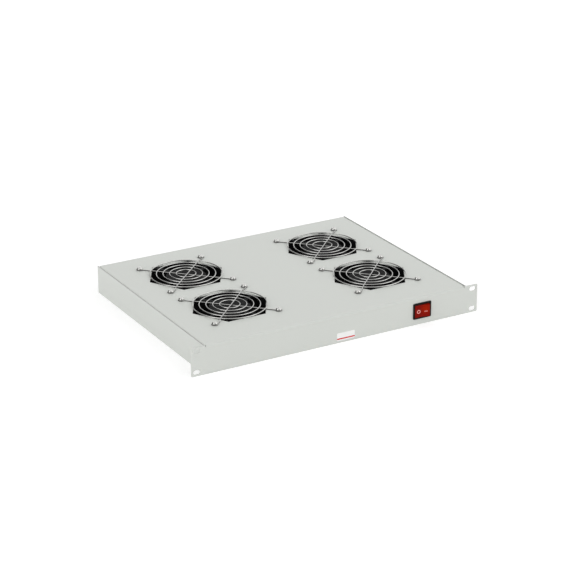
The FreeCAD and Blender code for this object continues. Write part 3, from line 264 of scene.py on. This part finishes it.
def axes_of(tree, kind):
    """X, Y and Z of a texture coordinate, apart."""
    place = tree.nodes.new("ShaderNodeTexCoord")
    axes = tree.nodes.new("ShaderNodeSeparateXYZ")
    tree.links.new(place.outputs[kind], axes.inputs[0])
    return axes.outputs


def within(tree, value, middle, half):
    """One where the value lies no further than half from the middle, nought elsewhere."""
    return math_node(tree, "COMPARE", value, middle, half)


def tint_where(material, mask, colour):
    """Lays a further colour over a finish where the mask is one."""
    tree = material.node_tree
    base = tree.nodes["Principled BSDF"].inputs["Base Color"]
    mixed = tree.nodes.new("ShaderNodeMix")
    mixed.data_type = "RGBA"
    tree.links.new(mask, mixed.inputs["Factor"])
    tree.links.new(base.links[0].from_socket, mixed.inputs["A"])
    mixed.inputs["B"].default_value = (*colour, 1)
    tree.links.new(mixed.outputs["Result"], base)


# Painted shade: faces that look both forward and up, on the bend of the top into the front panel,
# are tinted darker.
tree = powder_coat.node_tree
facing = axes_of(tree, "Normal")
both_ways = math_node(tree, "MULTIPLY", facing["Y"], facing["Z"])
painted_bend_shade = math_node(tree, "MULTIPLY", both_ways, BEND_GAIN)
painted_bend_shade.node.use_clamp = True
tint_where(powder_coat, painted_bend_shade, BEND_PAINTED_SHADE)
# Painted shade: a dark line on each side wall's top edge along the seam, lighter on the left and
# near black on the right.
at = axes_of(tree, "Object")
wall_top = math_node(tree, "MULTIPLY", within(tree, at["Y"], *SEAM_ALONG),
                     within(tree, at["Z"], *SEAM_UP))
for x, shade in SEAM_PAINTED_SHADES:
    seam = math_node(tree, "MULTIPLY", within(tree, at["X"], x, SEAM_HALF), wall_top)
    tint_where(powder_coat, seam, shade)


# ------------------------------------------------------------------ lower edges of the case
# The front panel is as high as the ears: below its bend the same sheet runs on as a flat strip.  The
# side and rear walls reach as low, as a narrow painted rim that the case stands on.
EDGE_HALF = 218.5 * MM
EDGE_T = 0.72 * MM
EDGE_H = 5.0 * MM
EDGE_ROUND = 0.25 * MM
PROUD = 0.03 * MM            # keeps these skins clear of the sheet behind them
TOUCH = 0.01 * MM
FACING = 0.9                 # the least share of its normal by which a face looks along an axis
RIM_T = 1.0 * MM
RIM_H = 4.5 * MM
RIM_FRONT = 0.5 * MM

low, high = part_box("cover")
clear_selection()
bpy.ops.mesh.primitive_cube_add(size=1, location=(0, low.y - PROUD + EDGE_T / 2,
                                                  low.z + EDGE_H / 2))
panel_edge = bpy.context.object
panel_edge.scale = (2 * EDGE_HALF, EDGE_T, EDGE_H)
settle(panel_edge)
open_edges(panel_edge, lambda middle: middle.z < low.z + TOUCH and middle.y < low.y + TOUCH)
bpy.ops.mesh.bevel(offset=EDGE_ROUND, segments=2, affect="EDGES")
close_edit()
panel_edge.name = "panel_lower_edge"
complete(panel_edge, powder_coat, "chassis")

base_low, base_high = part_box("base")
rim_size = (base_high.x - base_low.x + 2 * PROUD, high.y - RIM_FRONT + PROUD, RIM_H)
clear_selection()
bpy.ops.mesh.primitive_cube_add(size=1, location=(0, RIM_FRONT + rim_size[1] / 2,
                                                  low.z + RIM_H / 2))
rim = bpy.context.object
rim.scale = rim_size
settle(rim)
open_faces(rim, lambda centre, normal: abs(normal.x) < FACING and normal.y < FACING)
bpy.ops.mesh.delete(type="FACE")
close_edit()
walls = rim.modifiers.new("sheet", "SOLIDIFY")
walls.thickness = RIM_T
walls.offset = -1
bpy.ops.object.modifier_apply(modifier=walls.name)
rim.name = "case_lower_rim"
complete(rim, powder_coat, "chassis")


# ------------------------------------------------------------------ case screws
# Eight M3 countersunk screws hold the base to the cover's return lips from below, with nuts inside.
# Cold-headed steel, zinc-plated, with a cross recess.
CASE_HEAD_R = 2.75 * MM
CASE_SHANK_R = 1.5 * MM
CASE_SCREW_LENGTH = 6.0 * MM
CASE_HEAD_DEPTH = 1.2 * MM
CASE_RECESS = (3.2 * MM, 0.75 * MM, 1.1 * MM)       # span, width and depth
CASE_ROW = 4                                        # screws along each lip
RECESS_TAPER = 0.45


def cut_cross(head, face_z, size, outward):
    """Cuts a cross recess that narrows with depth into a face that looks up (+1) or down (-1)."""
    span, width, depth = size
    for turn in (45, 135):
        clear_selection()
        bpy.ops.mesh.primitive_cube_add(size=1, location=(0, 0, face_z),
                                        rotation=(0, 0, math.radians(turn)))
        wedge = bpy.context.object
        wedge.scale = (span, width, 2 * depth)
        settle(wedge)
        open_faces(wedge, lambda centre, normal: normal.z * outward < -FACING)
        bpy.ops.transform.resize(value=(RECESS_TAPER, RECESS_TAPER, 1),
                                 center_override=(0, 0, face_z))
        close_edit()
        cut = head.modifiers.new("recess", "BOOLEAN")
        cut.operation = "DIFFERENCE"
        cut.object = wedge
        choose(head)
        bpy.ops.object.modifier_apply(modifier=cut.name)
        bpy.data.objects.remove(wedge)


def twin_at(model, x, y):
    """A copy of the model with its own mesh, x and y away."""
    twin = model.copy()
    twin.data = model.data.copy()
    twin.data.transform(Matrix.Translation((x, y, 0)))
    scene.collection.objects.link(twin)
    return twin


def set_out(model, places, name):
    """One object of joined copies of the model, which is used up."""
    copies = [twin_at(model, x, y) for x, y in places]
    bpy.data.objects.remove(model)
    choose(*copies)
    bpy.ops.object.join()
    copies[0].name = name
    return copies[0]


zinc_plate = finish("zinc_plate", (0.66, 0.66, 0.64), 0.16, metallic=1.0, tint=0.08, spread=0.15,
                    grain=2500.0, cloud=160.0, bump=0.12)
dress(zinc_plate, "cover_nuts")

low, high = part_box("cover_screws")
underside_z = low.z
pitch = (high.x - low.x - 2 * CASE_HEAD_R) / (CASE_ROW - 1)
screw_places = [(low.x + CASE_HEAD_R + k * pitch, y) for k in range(CASE_ROW)
                for y in (low.y + CASE_HEAD_R, high.y - CASE_HEAD_R)]
clear_selection()
bpy.ops.mesh.primitive_cylinder_add(vertices=32, radius=CASE_HEAD_R, depth=CASE_HEAD_DEPTH,
                                    location=(0, 0, underside_z + CASE_HEAD_DEPTH / 2))
case_screw = bpy.context.object
settle(case_screw)
open_faces(case_screw, lambda centre, normal: normal.z > FACING)
cone_top = CASE_SHANK_R / CASE_HEAD_R
bpy.ops.transform.resize(value=(cone_top, cone_top, 1), center_override=(0, 0, underside_z))
bpy.ops.mesh.extrude_region_move(
    TRANSFORM_OT_translate={"value": (0, 0, CASE_SCREW_LENGTH - CASE_HEAD_DEPTH)})
close_edit()
cut_cross(case_screw, underside_z, CASE_RECESS, -1)
case_screws = set_out(case_screw, screw_places, "case_screws")
complete(case_screws, zinc_plate, "chassis", ["cover_screws"])


# ------------------------------------------------------------------ fans
# Four mains axial fans: a die-cast aluminium frame painted satin black, a moulded black impeller on
# an outer-rotor motor, with its steel ring, shaft, two bearings and a wound stator inside the hub.
FANS = (1, 2, 3, 4)

fan_paint = finish("fan_paint", (0.007, 0.007, 0.0075), 0.5, shine=0.08, tint=0.2, spread=0.1,
                   grain=1400.0, cloud=40.0, bump=0.3, depth=0.05)
blade_plastic = finish("blade_plastic", (0.009, 0.009, 0.0095), 0.45, shine=0.08, tint=0.15,
                       spread=0.12, grain=600.0, cloud=30.0, bump=0.12, depth=0.04)
motor_steel = finish("motor_steel", (0.42, 0.42, 0.43), 0.34, metallic=1.0, tint=0.1, spread=0.15,
                     grain=1800.0, cloud=90.0, bump=0.15)
copper_winding = finish("copper_winding", (0.42, 0.17, 0.06), 0.35, metallic=0.7, tint=0.25,
                        spread=0.1, grain=1200.0, cloud=300.0, bump=0.5, depth=0.1)
for number in FANS:
    dress(fan_paint, f"fan_frame_{number}")
    dress(blade_plastic, f"impeller_{number}")
    dress(motor_steel, f"shaft_{number}", f"bearings_{number}", f"rotor_ring_{number}")
    dress(copper_winding, f"stator_{number}")


# ------------------------------------------------------------------ finger guards
# Each guard is five rings of steel wire, spot-welded between two legs that cross in the middle.  The
# legs end in eyes bent round the fixing screws, and the whole guard is bright nickel-plated.
WIRE = 0.8 * MM              # radius
WIRE_SIDES = 12
RING_RADII = tuple(radius * MM for radius in (15, 25, 35, 45, 55))
RING_SEGMENTS = 96
EYE_R = 4.4 * MM             # to the middle of the wire
EYE_SEGMENTS = 28
UPPER_LEG_ASIDE = -3.4 * MM  # off the line through the two screws
LOWER_LEG_ASIDE = 0.8 * MM
SCREW_PITCH = 105.0 * MM
KNEE = 57.5 * MM             # the upper leg comes down between knee and foot
FOOT = 64.0 * MM
BEND = 1.5 * MM
# Painted shade on the wires: level, half height and colour of the dark band painted on the lower
# part of the legs, and of the duller grey painted on the crest of the upper one.
WIRE_PAINTED_SHADES = ((22.2 * MM, 1.1 * MM, (0.05, 0.05, 0.048)), (25.6 * MM, 0.7 * MM, (0.48, 0.48, 0.47)))

low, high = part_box("finger_guard_1")
leg_z = low.z + WIRE
top_leg_z = high.z - WIRE
ring_z = (leg_z + top_leg_z) / 2
eye_at = SCREW_PITCH / math.sqrt(2)


def wire_loop(radius, x, y, z, segments):
    """A ring of wire."""
    clear_selection()
    bpy.ops.mesh.primitive_torus_add(major_radius=radius, minor_radius=WIRE, major_segments=segments,
                                     minor_segments=WIRE_SIDES, location=(x, y, z))
    loop = bpy.context.object
    settle(loop)
    return loop


def wire_leg(turn, aside, raised):
    """A wire that ends in an eye round each of two opposite screws and passes to one side of them.

    A raised leg steps up over the rings."""
    leg_end = eye_at - math.sqrt(EYE_R ** 2 - aside ** 2)
    clear_selection()
    bpy.ops.mesh.primitive_cylinder_add(vertices=WIRE_SIDES, radius=WIRE, depth=2 * leg_end,
                                        rotation=(0, math.pi / 2, 0), location=(0, aside, leg_z))
    leg = bpy.context.object
    settle(leg)
    if raised:
        open_faces(leg, lambda centre, normal: False)
        for middle in (KNEE, FOOT):
            for x in (middle - BEND, middle, middle + BEND):
                for end in (-1, 1):
                    bpy.ops.mesh.select_all(action="SELECT")
                    bpy.ops.mesh.bisect(plane_co=(end * x, 0, 0), plane_no=(1, 0, 0))
        close_edit()
        for vertex in leg.data.vertices:
            share = min(max((FOOT - abs(vertex.co.x)) / (FOOT - KNEE), 0.0), 1.0)
            vertex.co.z += (top_leg_z - leg_z) * share * share * (3 - 2 * share)
    eyes = [wire_loop(EYE_R, end * eye_at, 0, leg_z, EYE_SEGMENTS) for end in (-1, 1)]
    choose(leg, *eyes)
    bpy.ops.object.join()
    leg.rotation_euler = (0, 0, math.radians(turn))
    settle(leg)
    return leg


bright_wire = finish("bright_wire", (0.62, 0.62, 0.60), 0.17, metallic=1.0, tint=0.06, spread=0.1,
                     grain=2200.0, cloud=120.0, bump=0.08)
# Painted shade: the wire is tinted darker in these bands of height.
tree = bright_wire.node_tree
at = axes_of(tree, "Object")
for level, half, shade in WIRE_PAINTED_SHADES:
    tint_where(bright_wire, within(tree, at["Z"], level, half), shade)
guard_wires = [wire_leg(135, LOWER_LEG_ASIDE, False), wire_leg(45, UPPER_LEG_ASIDE, True)]
guard_wires += [wire_loop(radius, 0, 0, ring_z, RING_SEGMENTS) for radius in RING_RADII]
choose(*guard_wires)
bpy.ops.object.join()
guard = guard_wires[0]
for number in FANS:
    low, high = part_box(f"finger_guard_{number}")
    wires = twin_at(guard, (low.x + high.x) / 2, (low.y + high.y) / 2)
    wires.name = f"guard_wires_{number}"
    complete(wires, bright_wire, "chassis", [f"finger_guard_{number}"], smooth=50)
bpy.data.objects.remove(guard)


# ------------------------------------------------------------------ guard screws
# Sixteen M4 pan-head screws, zinc-plated, one through each eye into the fan's upper flange, where a
# nut holds it.  The heads are rounded at the rim and have a cross recess.
PAN_HEAD_R = 4.2 * MM
PAN_HEAD_H = 2.6 * MM
PAN_SHANK_R = 2.0 * MM
PAN_ROUND = 2.2 * MM
PAN_RECESS = (3.0 * MM, 0.7 * MM, 1.3 * MM)         # span, width and depth
HEAD_SEAT_PAINTED_SHADE = (0.16, 0.16, 0.155)         # painted shade close above and below the heads' seat, where the heads overhang
RIM_REACH = 0.6 * MM

low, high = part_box("guard_screws")
seat_z = high.z - PAN_HEAD_H
clear_selection()
bpy.ops.mesh.primitive_cylinder_add(vertices=36, radius=PAN_HEAD_R, depth=PAN_HEAD_H,
                                    location=(0, 0, seat_z + PAN_HEAD_H / 2))
pan_screw = bpy.context.object
settle(pan_screw)
open_faces(pan_screw, lambda centre, normal: normal.z < -FACING)
bpy.ops.mesh.inset(thickness=PAN_HEAD_R - PAN_SHANK_R)
bpy.ops.mesh.extrude_region_move(TRANSFORM_OT_translate={"value": (0, 0, low.z - seat_z)})
close_edit()
open_faces(pan_screw, lambda centre, normal: normal.z > FACING)
bpy.ops.mesh.bevel(offset=PAN_ROUND, segments=5, affect="EDGES")
close_edit()
cut_cross(pan_screw, high.z, PAN_RECESS, 1)
screw_places = []
for number in FANS:
    fan_low, fan_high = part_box(f"finger_guard_{number}")
    middle = (fan_low + fan_high) / 2
    screw_places += [(middle.x + x * SCREW_PITCH / 2, middle.y + y * SCREW_PITCH / 2)
                     for x in (-1, 1) for y in (-1, 1)]
guard_screws = set_out(pan_screw, screw_places, "pan_head_screws")
complete(guard_screws, zinc_plate, "chassis", ["guard_screws"])
dress(zinc_plate, "guard_nuts")
# Painted shade: the zinc is tinted darker in a band at the level of the heads' seat.
tree = zinc_plate.node_tree
shade_under_head = within(tree, axes_of(tree, "Object")["Z"], seat_z, RIM_REACH)
tint_where(zinc_plate, shade_under_head, HEAD_SEAT_PAINTED_SHADE)


# ------------------------------------------------------------------ rocker switch
# A snap-in rocker switch with a black nylon body and bezel and a red translucent rocker, lit by a
# small neon lamp.  Pale marks are pad-printed on the rocker: a ring for off, a bar for on.
ROCKER_FACE = 6.0 * MM
HALF_SLOPE = math.radians(10)
RING_MARK_R = 2.5 * MM
MARK_STROKE = 0.55 * MM
MARK_RISE = 0.12 * MM
BAR_MARK = (5.0 * MM, 0.8 * MM)
RING_LEVEL = -0.7 * MM       # the marks' middles above the tray's mid-height
BAR_LEVEL = -1.1 * MM
GLOW_RED = (0.34, 0.013, 0.0)
GLOW_AT = (3.5 * MM, 3.0 * MM)          # aside of the pivot and up, where the lamp shines through
GLOW_REACH = 11.0 * MM

switch_black = finish("switch_black", (0.011, 0.009, 0.008), 0.35, shine=0.06, tint=0.15, spread=0.1,
                      grain=1100.0, cloud=60.0, bump=0.2, depth=0.03)
rocker_red = finish("rocker_red", (0.21, 0.004, 0.001), 0.25, shine=0.06, tint=0.08, spread=0.08,
                    grain=500.0, cloud=70.0, bump=0.05)
lamp_glass = finish("lamp_glass", (0.75, 0.35, 0.18), 0.1, tint=0.1, spread=0.05, grain=400.0,
                    cloud=100.0, bump=0.03)
brass_tab = finish("brass_tab", (0.62, 0.47, 0.22), 0.28, metallic=1.0, tint=0.1, spread=0.12,
                   grain=2000.0, cloud=120.0, bump=0.1)
mark_print = finish("mark_print", (0.95, 0.42, 0.38), 0.5, tint=0.04, spread=0.08, grain=2500.0,
                    cloud=300.0, bump=0.1)
dress(switch_black, "switch_housing")
dress(rocker_red, "switch_rocker")
dress(lamp_glass, "switch_lamp")
dress(brass_tab, "switch_terminals")


def ramp(tree, value, start, end, kind="SMOOTHSTEP"):
    """Runs from one pair to another, each a value and what it becomes, and stays level beyond."""
    node = tree.nodes.new("ShaderNodeMapRange")
    node.interpolation_type = kind
    for name, number in (("From Min", start[0]), ("To Min", start[1]),
                         ("From Max", end[0]), ("To Max", end[1])):
        node.inputs[name].default_value = number
    tree.links.new(value, node.inputs["Value"])
    return node.outputs["Result"]


pivot = next(joint for joint in frame["joints"] if joint["name"] == "rocker_tilt")["pos_m"]
low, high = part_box("switch_rocker")
tree = rocker_red.node_tree
place = tree.nodes.new("ShaderNodeTexCoord")
spot = tree.nodes.new("ShaderNodeVectorMath")
spot.operation = "DISTANCE"
tree.links.new(place.outputs["Object"], spot.inputs[0])
spot.inputs[1].default_value = (pivot[0] + GLOW_AT[0], low.y, GLOW_AT[1])
glow = ramp(tree, spot.outputs["Value"], (0.0, 1.0), (GLOW_REACH, 0.0))
tint_where(rocker_red, glow, GLOW_RED)
flat_y = pivot[1] - ROCKER_FACE * math.cos(HALF_SLOPE)
valley_x = pivot[0] - ROCKER_FACE * math.sin(HALF_SLOPE)
left_middle = (low.x + valley_x) / 2
right_reach = (high.x - valley_x) / 2

clear_selection()
bpy.ops.mesh.primitive_torus_add(major_radius=RING_MARK_R, minor_radius=MARK_STROKE,
                                 major_segments=48, minor_segments=10,
                                 location=(left_middle, flat_y, RING_LEVEL),
                                 rotation=(math.pi / 2, 0, 0))
off_mark = bpy.context.object
off_mark.scale = (1, 1, MARK_RISE / MARK_STROKE)
settle(off_mark)
off_mark.name = "off_mark"
complete(off_mark, mark_print, "rocker")

clear_selection()
bpy.ops.mesh.primitive_cube_add(size=1, rotation=(0, 0, -2 * HALF_SLOPE),
                                location=(valley_x + right_reach * math.cos(2 * HALF_SLOPE),
                                          flat_y - right_reach * math.sin(2 * HALF_SLOPE),
                                          BAR_LEVEL))
on_mark = bpy.context.object
on_mark.scale = (BAR_MARK[0], 2 * MARK_RISE, BAR_MARK[1])
settle(on_mark)
open_faces(on_mark, lambda centre, normal: normal.y < -FACING)
bpy.ops.mesh.bevel(offset=MARK_RISE / 2, segments=2, affect="EDGES")
close_edit()
on_mark.name = "on_mark"
complete(on_mark, mark_print, "rocker")


# ------------------------------------------------------------------ mains inlet
# A moulded three-pin appliance inlet in the rear wall, fixed by two countersunk screws and nuts.
# Black glass-filled nylon with brass pins, its socket open to the rear.
inlet_black = finish("inlet_black", (0.015, 0.015, 0.015), 0.42, tint=0.15, spread=0.1, grain=900.0,
                     cloud=50.0, bump=0.25, depth=0.04)
dress(inlet_black, "inlet_body")
dress(brass_tab, "inlet_pins")
dress(zinc_plate, "inlet_screws", "inlet_nuts")


# ------------------------------------------------------------------ wiring
# Black leads from the inlet to the switch and on to the terminal block between the fans, a green and
# yellow earth lead to a stud in the base, white nylon clips, block and sleeves.
EARTH_STRIPE = 3.0 * MM
STRIPE_WAVES = 1 / (20 * EARTH_STRIPE)  # the wave texture's scale for such stripes
YELLOW_FROM = 0.7                       # of the wave's height
EARTH_YELLOW = (0.75, 0.62, 0.05)

lead_black = finish("lead_black", (0.014, 0.014, 0.014), 0.4, tint=0.2, spread=0.1, grain=700.0,
                    cloud=90.0, bump=0.15, depth=0.03)
nylon = finish("nylon", (0.72, 0.70, 0.64), 0.4, tint=0.04, spread=0.08, grain=800.0, cloud=60.0,
               bump=0.12, depth=0.03)
earth_green = finish("earth_green", (0.05, 0.30, 0.06), 0.4, tint=0.1, spread=0.1, grain=700.0,
                     cloud=90.0, bump=0.1)
tree = earth_green.node_tree
place = tree.nodes.new("ShaderNodeTexCoord")
stripes = tree.nodes.new("ShaderNodeTexWave")
stripes.bands_direction = "DIAGONAL"
stripes.inputs["Scale"].default_value = STRIPE_WAVES
tree.links.new(place.outputs["Object"], stripes.inputs["Vector"])
yellow = math_node(tree, "GREATER_THAN", stripes.outputs["Fac"], YELLOW_FROM)
tint_where(earth_green, yellow, EARTH_YELLOW)

dress(lead_black, "supply_leads", "switched_leads")
for number in FANS:
    dress(lead_black, f"fan_leads_{number}")
dress(earth_green, "earth_lead")
dress(nylon, "terminal_block", "cable_clips", "lead_sleeves")
dress(zinc_plate, "terminal_screws", "block_screws", "earth_lug", "earth_stud", "earth_nut")


# ------------------------------------------------------------------ front label
# A plain self-adhesive label, low on the front panel: white film with rounded corners and one
# printed red stripe, left without words.
LABEL = (30.0 * MM, 12.0 * MM)
LABEL_T = 0.2 * MM
LABEL_CORNER = 1.5 * MM
LABEL_MIDDLE = (11.0 * MM, -12.5 * MM)
STRIPE = (30.0 * MM, 2.0 * MM)
STRIPE_CORNER = 0.4 * MM
STRIPE_RISE = 0.04 * MM
STRIPE_DROP = 3.2 * MM       # below the label's middle

front_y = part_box("cover")[0].y
label_film = finish("label_film", (0.87, 0.87, 0.86), 0.3, tint=0.02, spread=0.05, grain=1800.0,
                    cloud=60.0, bump=0.08)
label_red = finish("label_red", (0.62, 0.012, 0.010), 0.35, tint=0.05, spread=0.08, grain=1800.0,
                   cloud=80.0, bump=0.08)


def film(size, corner, thickness, middle, name):
    """A thin sheet on the front panel with rounded corners."""
    clear_selection()
    bpy.ops.mesh.primitive_plane_add(size=1, rotation=(math.pi / 2, 0, 0),
                                     location=(middle[0], front_y, middle[1]))
    sheet = bpy.context.object
    sheet.scale = (size[0], size[1], 1)
    settle(sheet)
    bpy.ops.object.mode_set(mode="EDIT")
    bpy.ops.mesh.select_all(action="SELECT")
    bpy.ops.mesh.bevel(offset=corner, segments=6, affect="VERTICES")
    bpy.ops.mesh.extrude_region_move(TRANSFORM_OT_translate={"value": (0, -thickness, 0)})
    bpy.ops.mesh.select_all(action="SELECT")
    bpy.ops.mesh.normals_make_consistent(inside=False)
    close_edit()
    sheet.name = name
    return sheet


label = film(LABEL, LABEL_CORNER, LABEL_T, LABEL_MIDDLE, "front_label")
complete(label, label_film, "chassis")
stripe = film(STRIPE, STRIPE_CORNER, LABEL_T + STRIPE_RISE,
              (LABEL_MIDDLE[0], LABEL_MIDDLE[1] - STRIPE_DROP), "front_label_stripe")
complete(stripe, label_red, "chassis")


# ------------------------------------------------------------------ floor and light
# A white studio floor that keeps a faint shadow, under a sky that is lighter at the horizon.  Two
# broad soft lamps light the front panel and the left wall, and two dark sides of the studio show
# only in gloss.
FLOOR_SIZE = 12.0
SKY_HORIZON = 1.18
SKY_ZENITH = 0.52
LAMP_SPREAD = math.radians(50)
# Each lamp's direction, as long as its light is strong on a surface that faces it.
LAMPS = (("right_lamp", Vector((0.10, -0.12, 0.105))), ("left_lamp", Vector((-0.22, -0.09, 0.095))))
# Each dark side's direction, where it starts as a cosine from there, and the light that it takes.
DARK_SIDES = ((Vector((-0.35, -0.93, 0.10)), 0.1, 0.8), (Vector((-0.60, 0.77, 0.15)), 0.50, 0.9))
DARK_FULL = 0.9
FLOOR_DIFFUSE = 0.70
FLOOR_ROUGH = 0.9
FLOOR_GLOW = 0.44


def seen_directly(tree):
    """One where the camera, a reflection or a refraction looks, nought for light that bounces."""
    path = tree.nodes.new("ShaderNodeLightPath")
    seen = math_node(tree, "MAXIMUM", path.outputs["Is Camera Ray"], path.outputs["Is Glossy Ray"])
    return math_node(tree, "MAXIMUM", seen, path.outputs["Is Transmission Ray"])


clear_selection()
bpy.ops.mesh.primitive_plane_add(size=FLOOR_SIZE, location=(0, 0, cad_box[0][2]))
floor = bpy.context.object
floor.name = "studio_floor"
floor_white = bpy.data.materials.new("floor_white")
floor_white.use_nodes = True
tree = floor_white.node_tree
shader = tree.nodes["Principled BSDF"]
shader.inputs["Base Color"].default_value = (FLOOR_DIFFUSE, FLOOR_DIFFUSE, FLOOR_DIFFUSE, 1)
shader.inputs["Roughness"].default_value = FLOOR_ROUGH
shader.inputs["Specular IOR Level"].default_value = 0.0
shader.inputs["Emission Color"].default_value = (1, 1, 1, 1)
tree.links.new(math_node(tree, "MULTIPLY", seen_directly(tree), FLOOR_GLOW),
               shader.inputs["Emission Strength"])
floor.data.materials.append(floor_white)

world = bpy.data.worlds.new("studio_sky")
scene.world = world
world.use_nodes = True
tree = world.node_tree
sky = tree.nodes["Background"]
sky.inputs["Color"].default_value = (1, 1, 1, 1)
towards = tree.nodes.new("ShaderNodeTexCoord")
height = axes_of(tree, "Generated")["Z"]
level = tree.nodes.new("ShaderNodeMix")
level.inputs["B"].default_value = 1.0
tree.links.new(seen_directly(tree), level.inputs["Factor"])
tree.links.new(ramp(tree, height, (0.0, SKY_HORIZON), (1.0, SKY_ZENITH), "LINEAR"),
               level.inputs["A"])
strength = level.outputs["Result"]
reflected = tree.nodes.new("ShaderNodeLightPath").outputs["Is Glossy Ray"]
for side, edge, share in DARK_SIDES:
    facing = tree.nodes.new("ShaderNodeVectorMath")
    facing.operation = "DOT_PRODUCT"
    facing.inputs[1].default_value = side.normalized()
    tree.links.new(towards.outputs["Generated"], facing.inputs[0])
    dark = ramp(tree, facing.outputs["Value"], (edge, 0.0), (DARK_FULL, share))
    held_back = math_node(tree, "MULTIPLY", dark, reflected)
    strength = math_node(tree, "MULTIPLY", strength, math_node(tree, "SUBTRACT", 1.0, held_back))
tree.links.new(strength, sky.inputs["Strength"])

for name, share in LAMPS:
    lamp = bpy.data.objects.new(name, bpy.data.lights.new(name, "SUN"))
    lamp.data.energy = math.pi * share.length
    lamp.data.angle = LAMP_SPREAD
    lamp.matrix_world = share.to_track_quat("Z", "Y").to_matrix().to_4x4()
    scene.collection.objects.link(lamp)
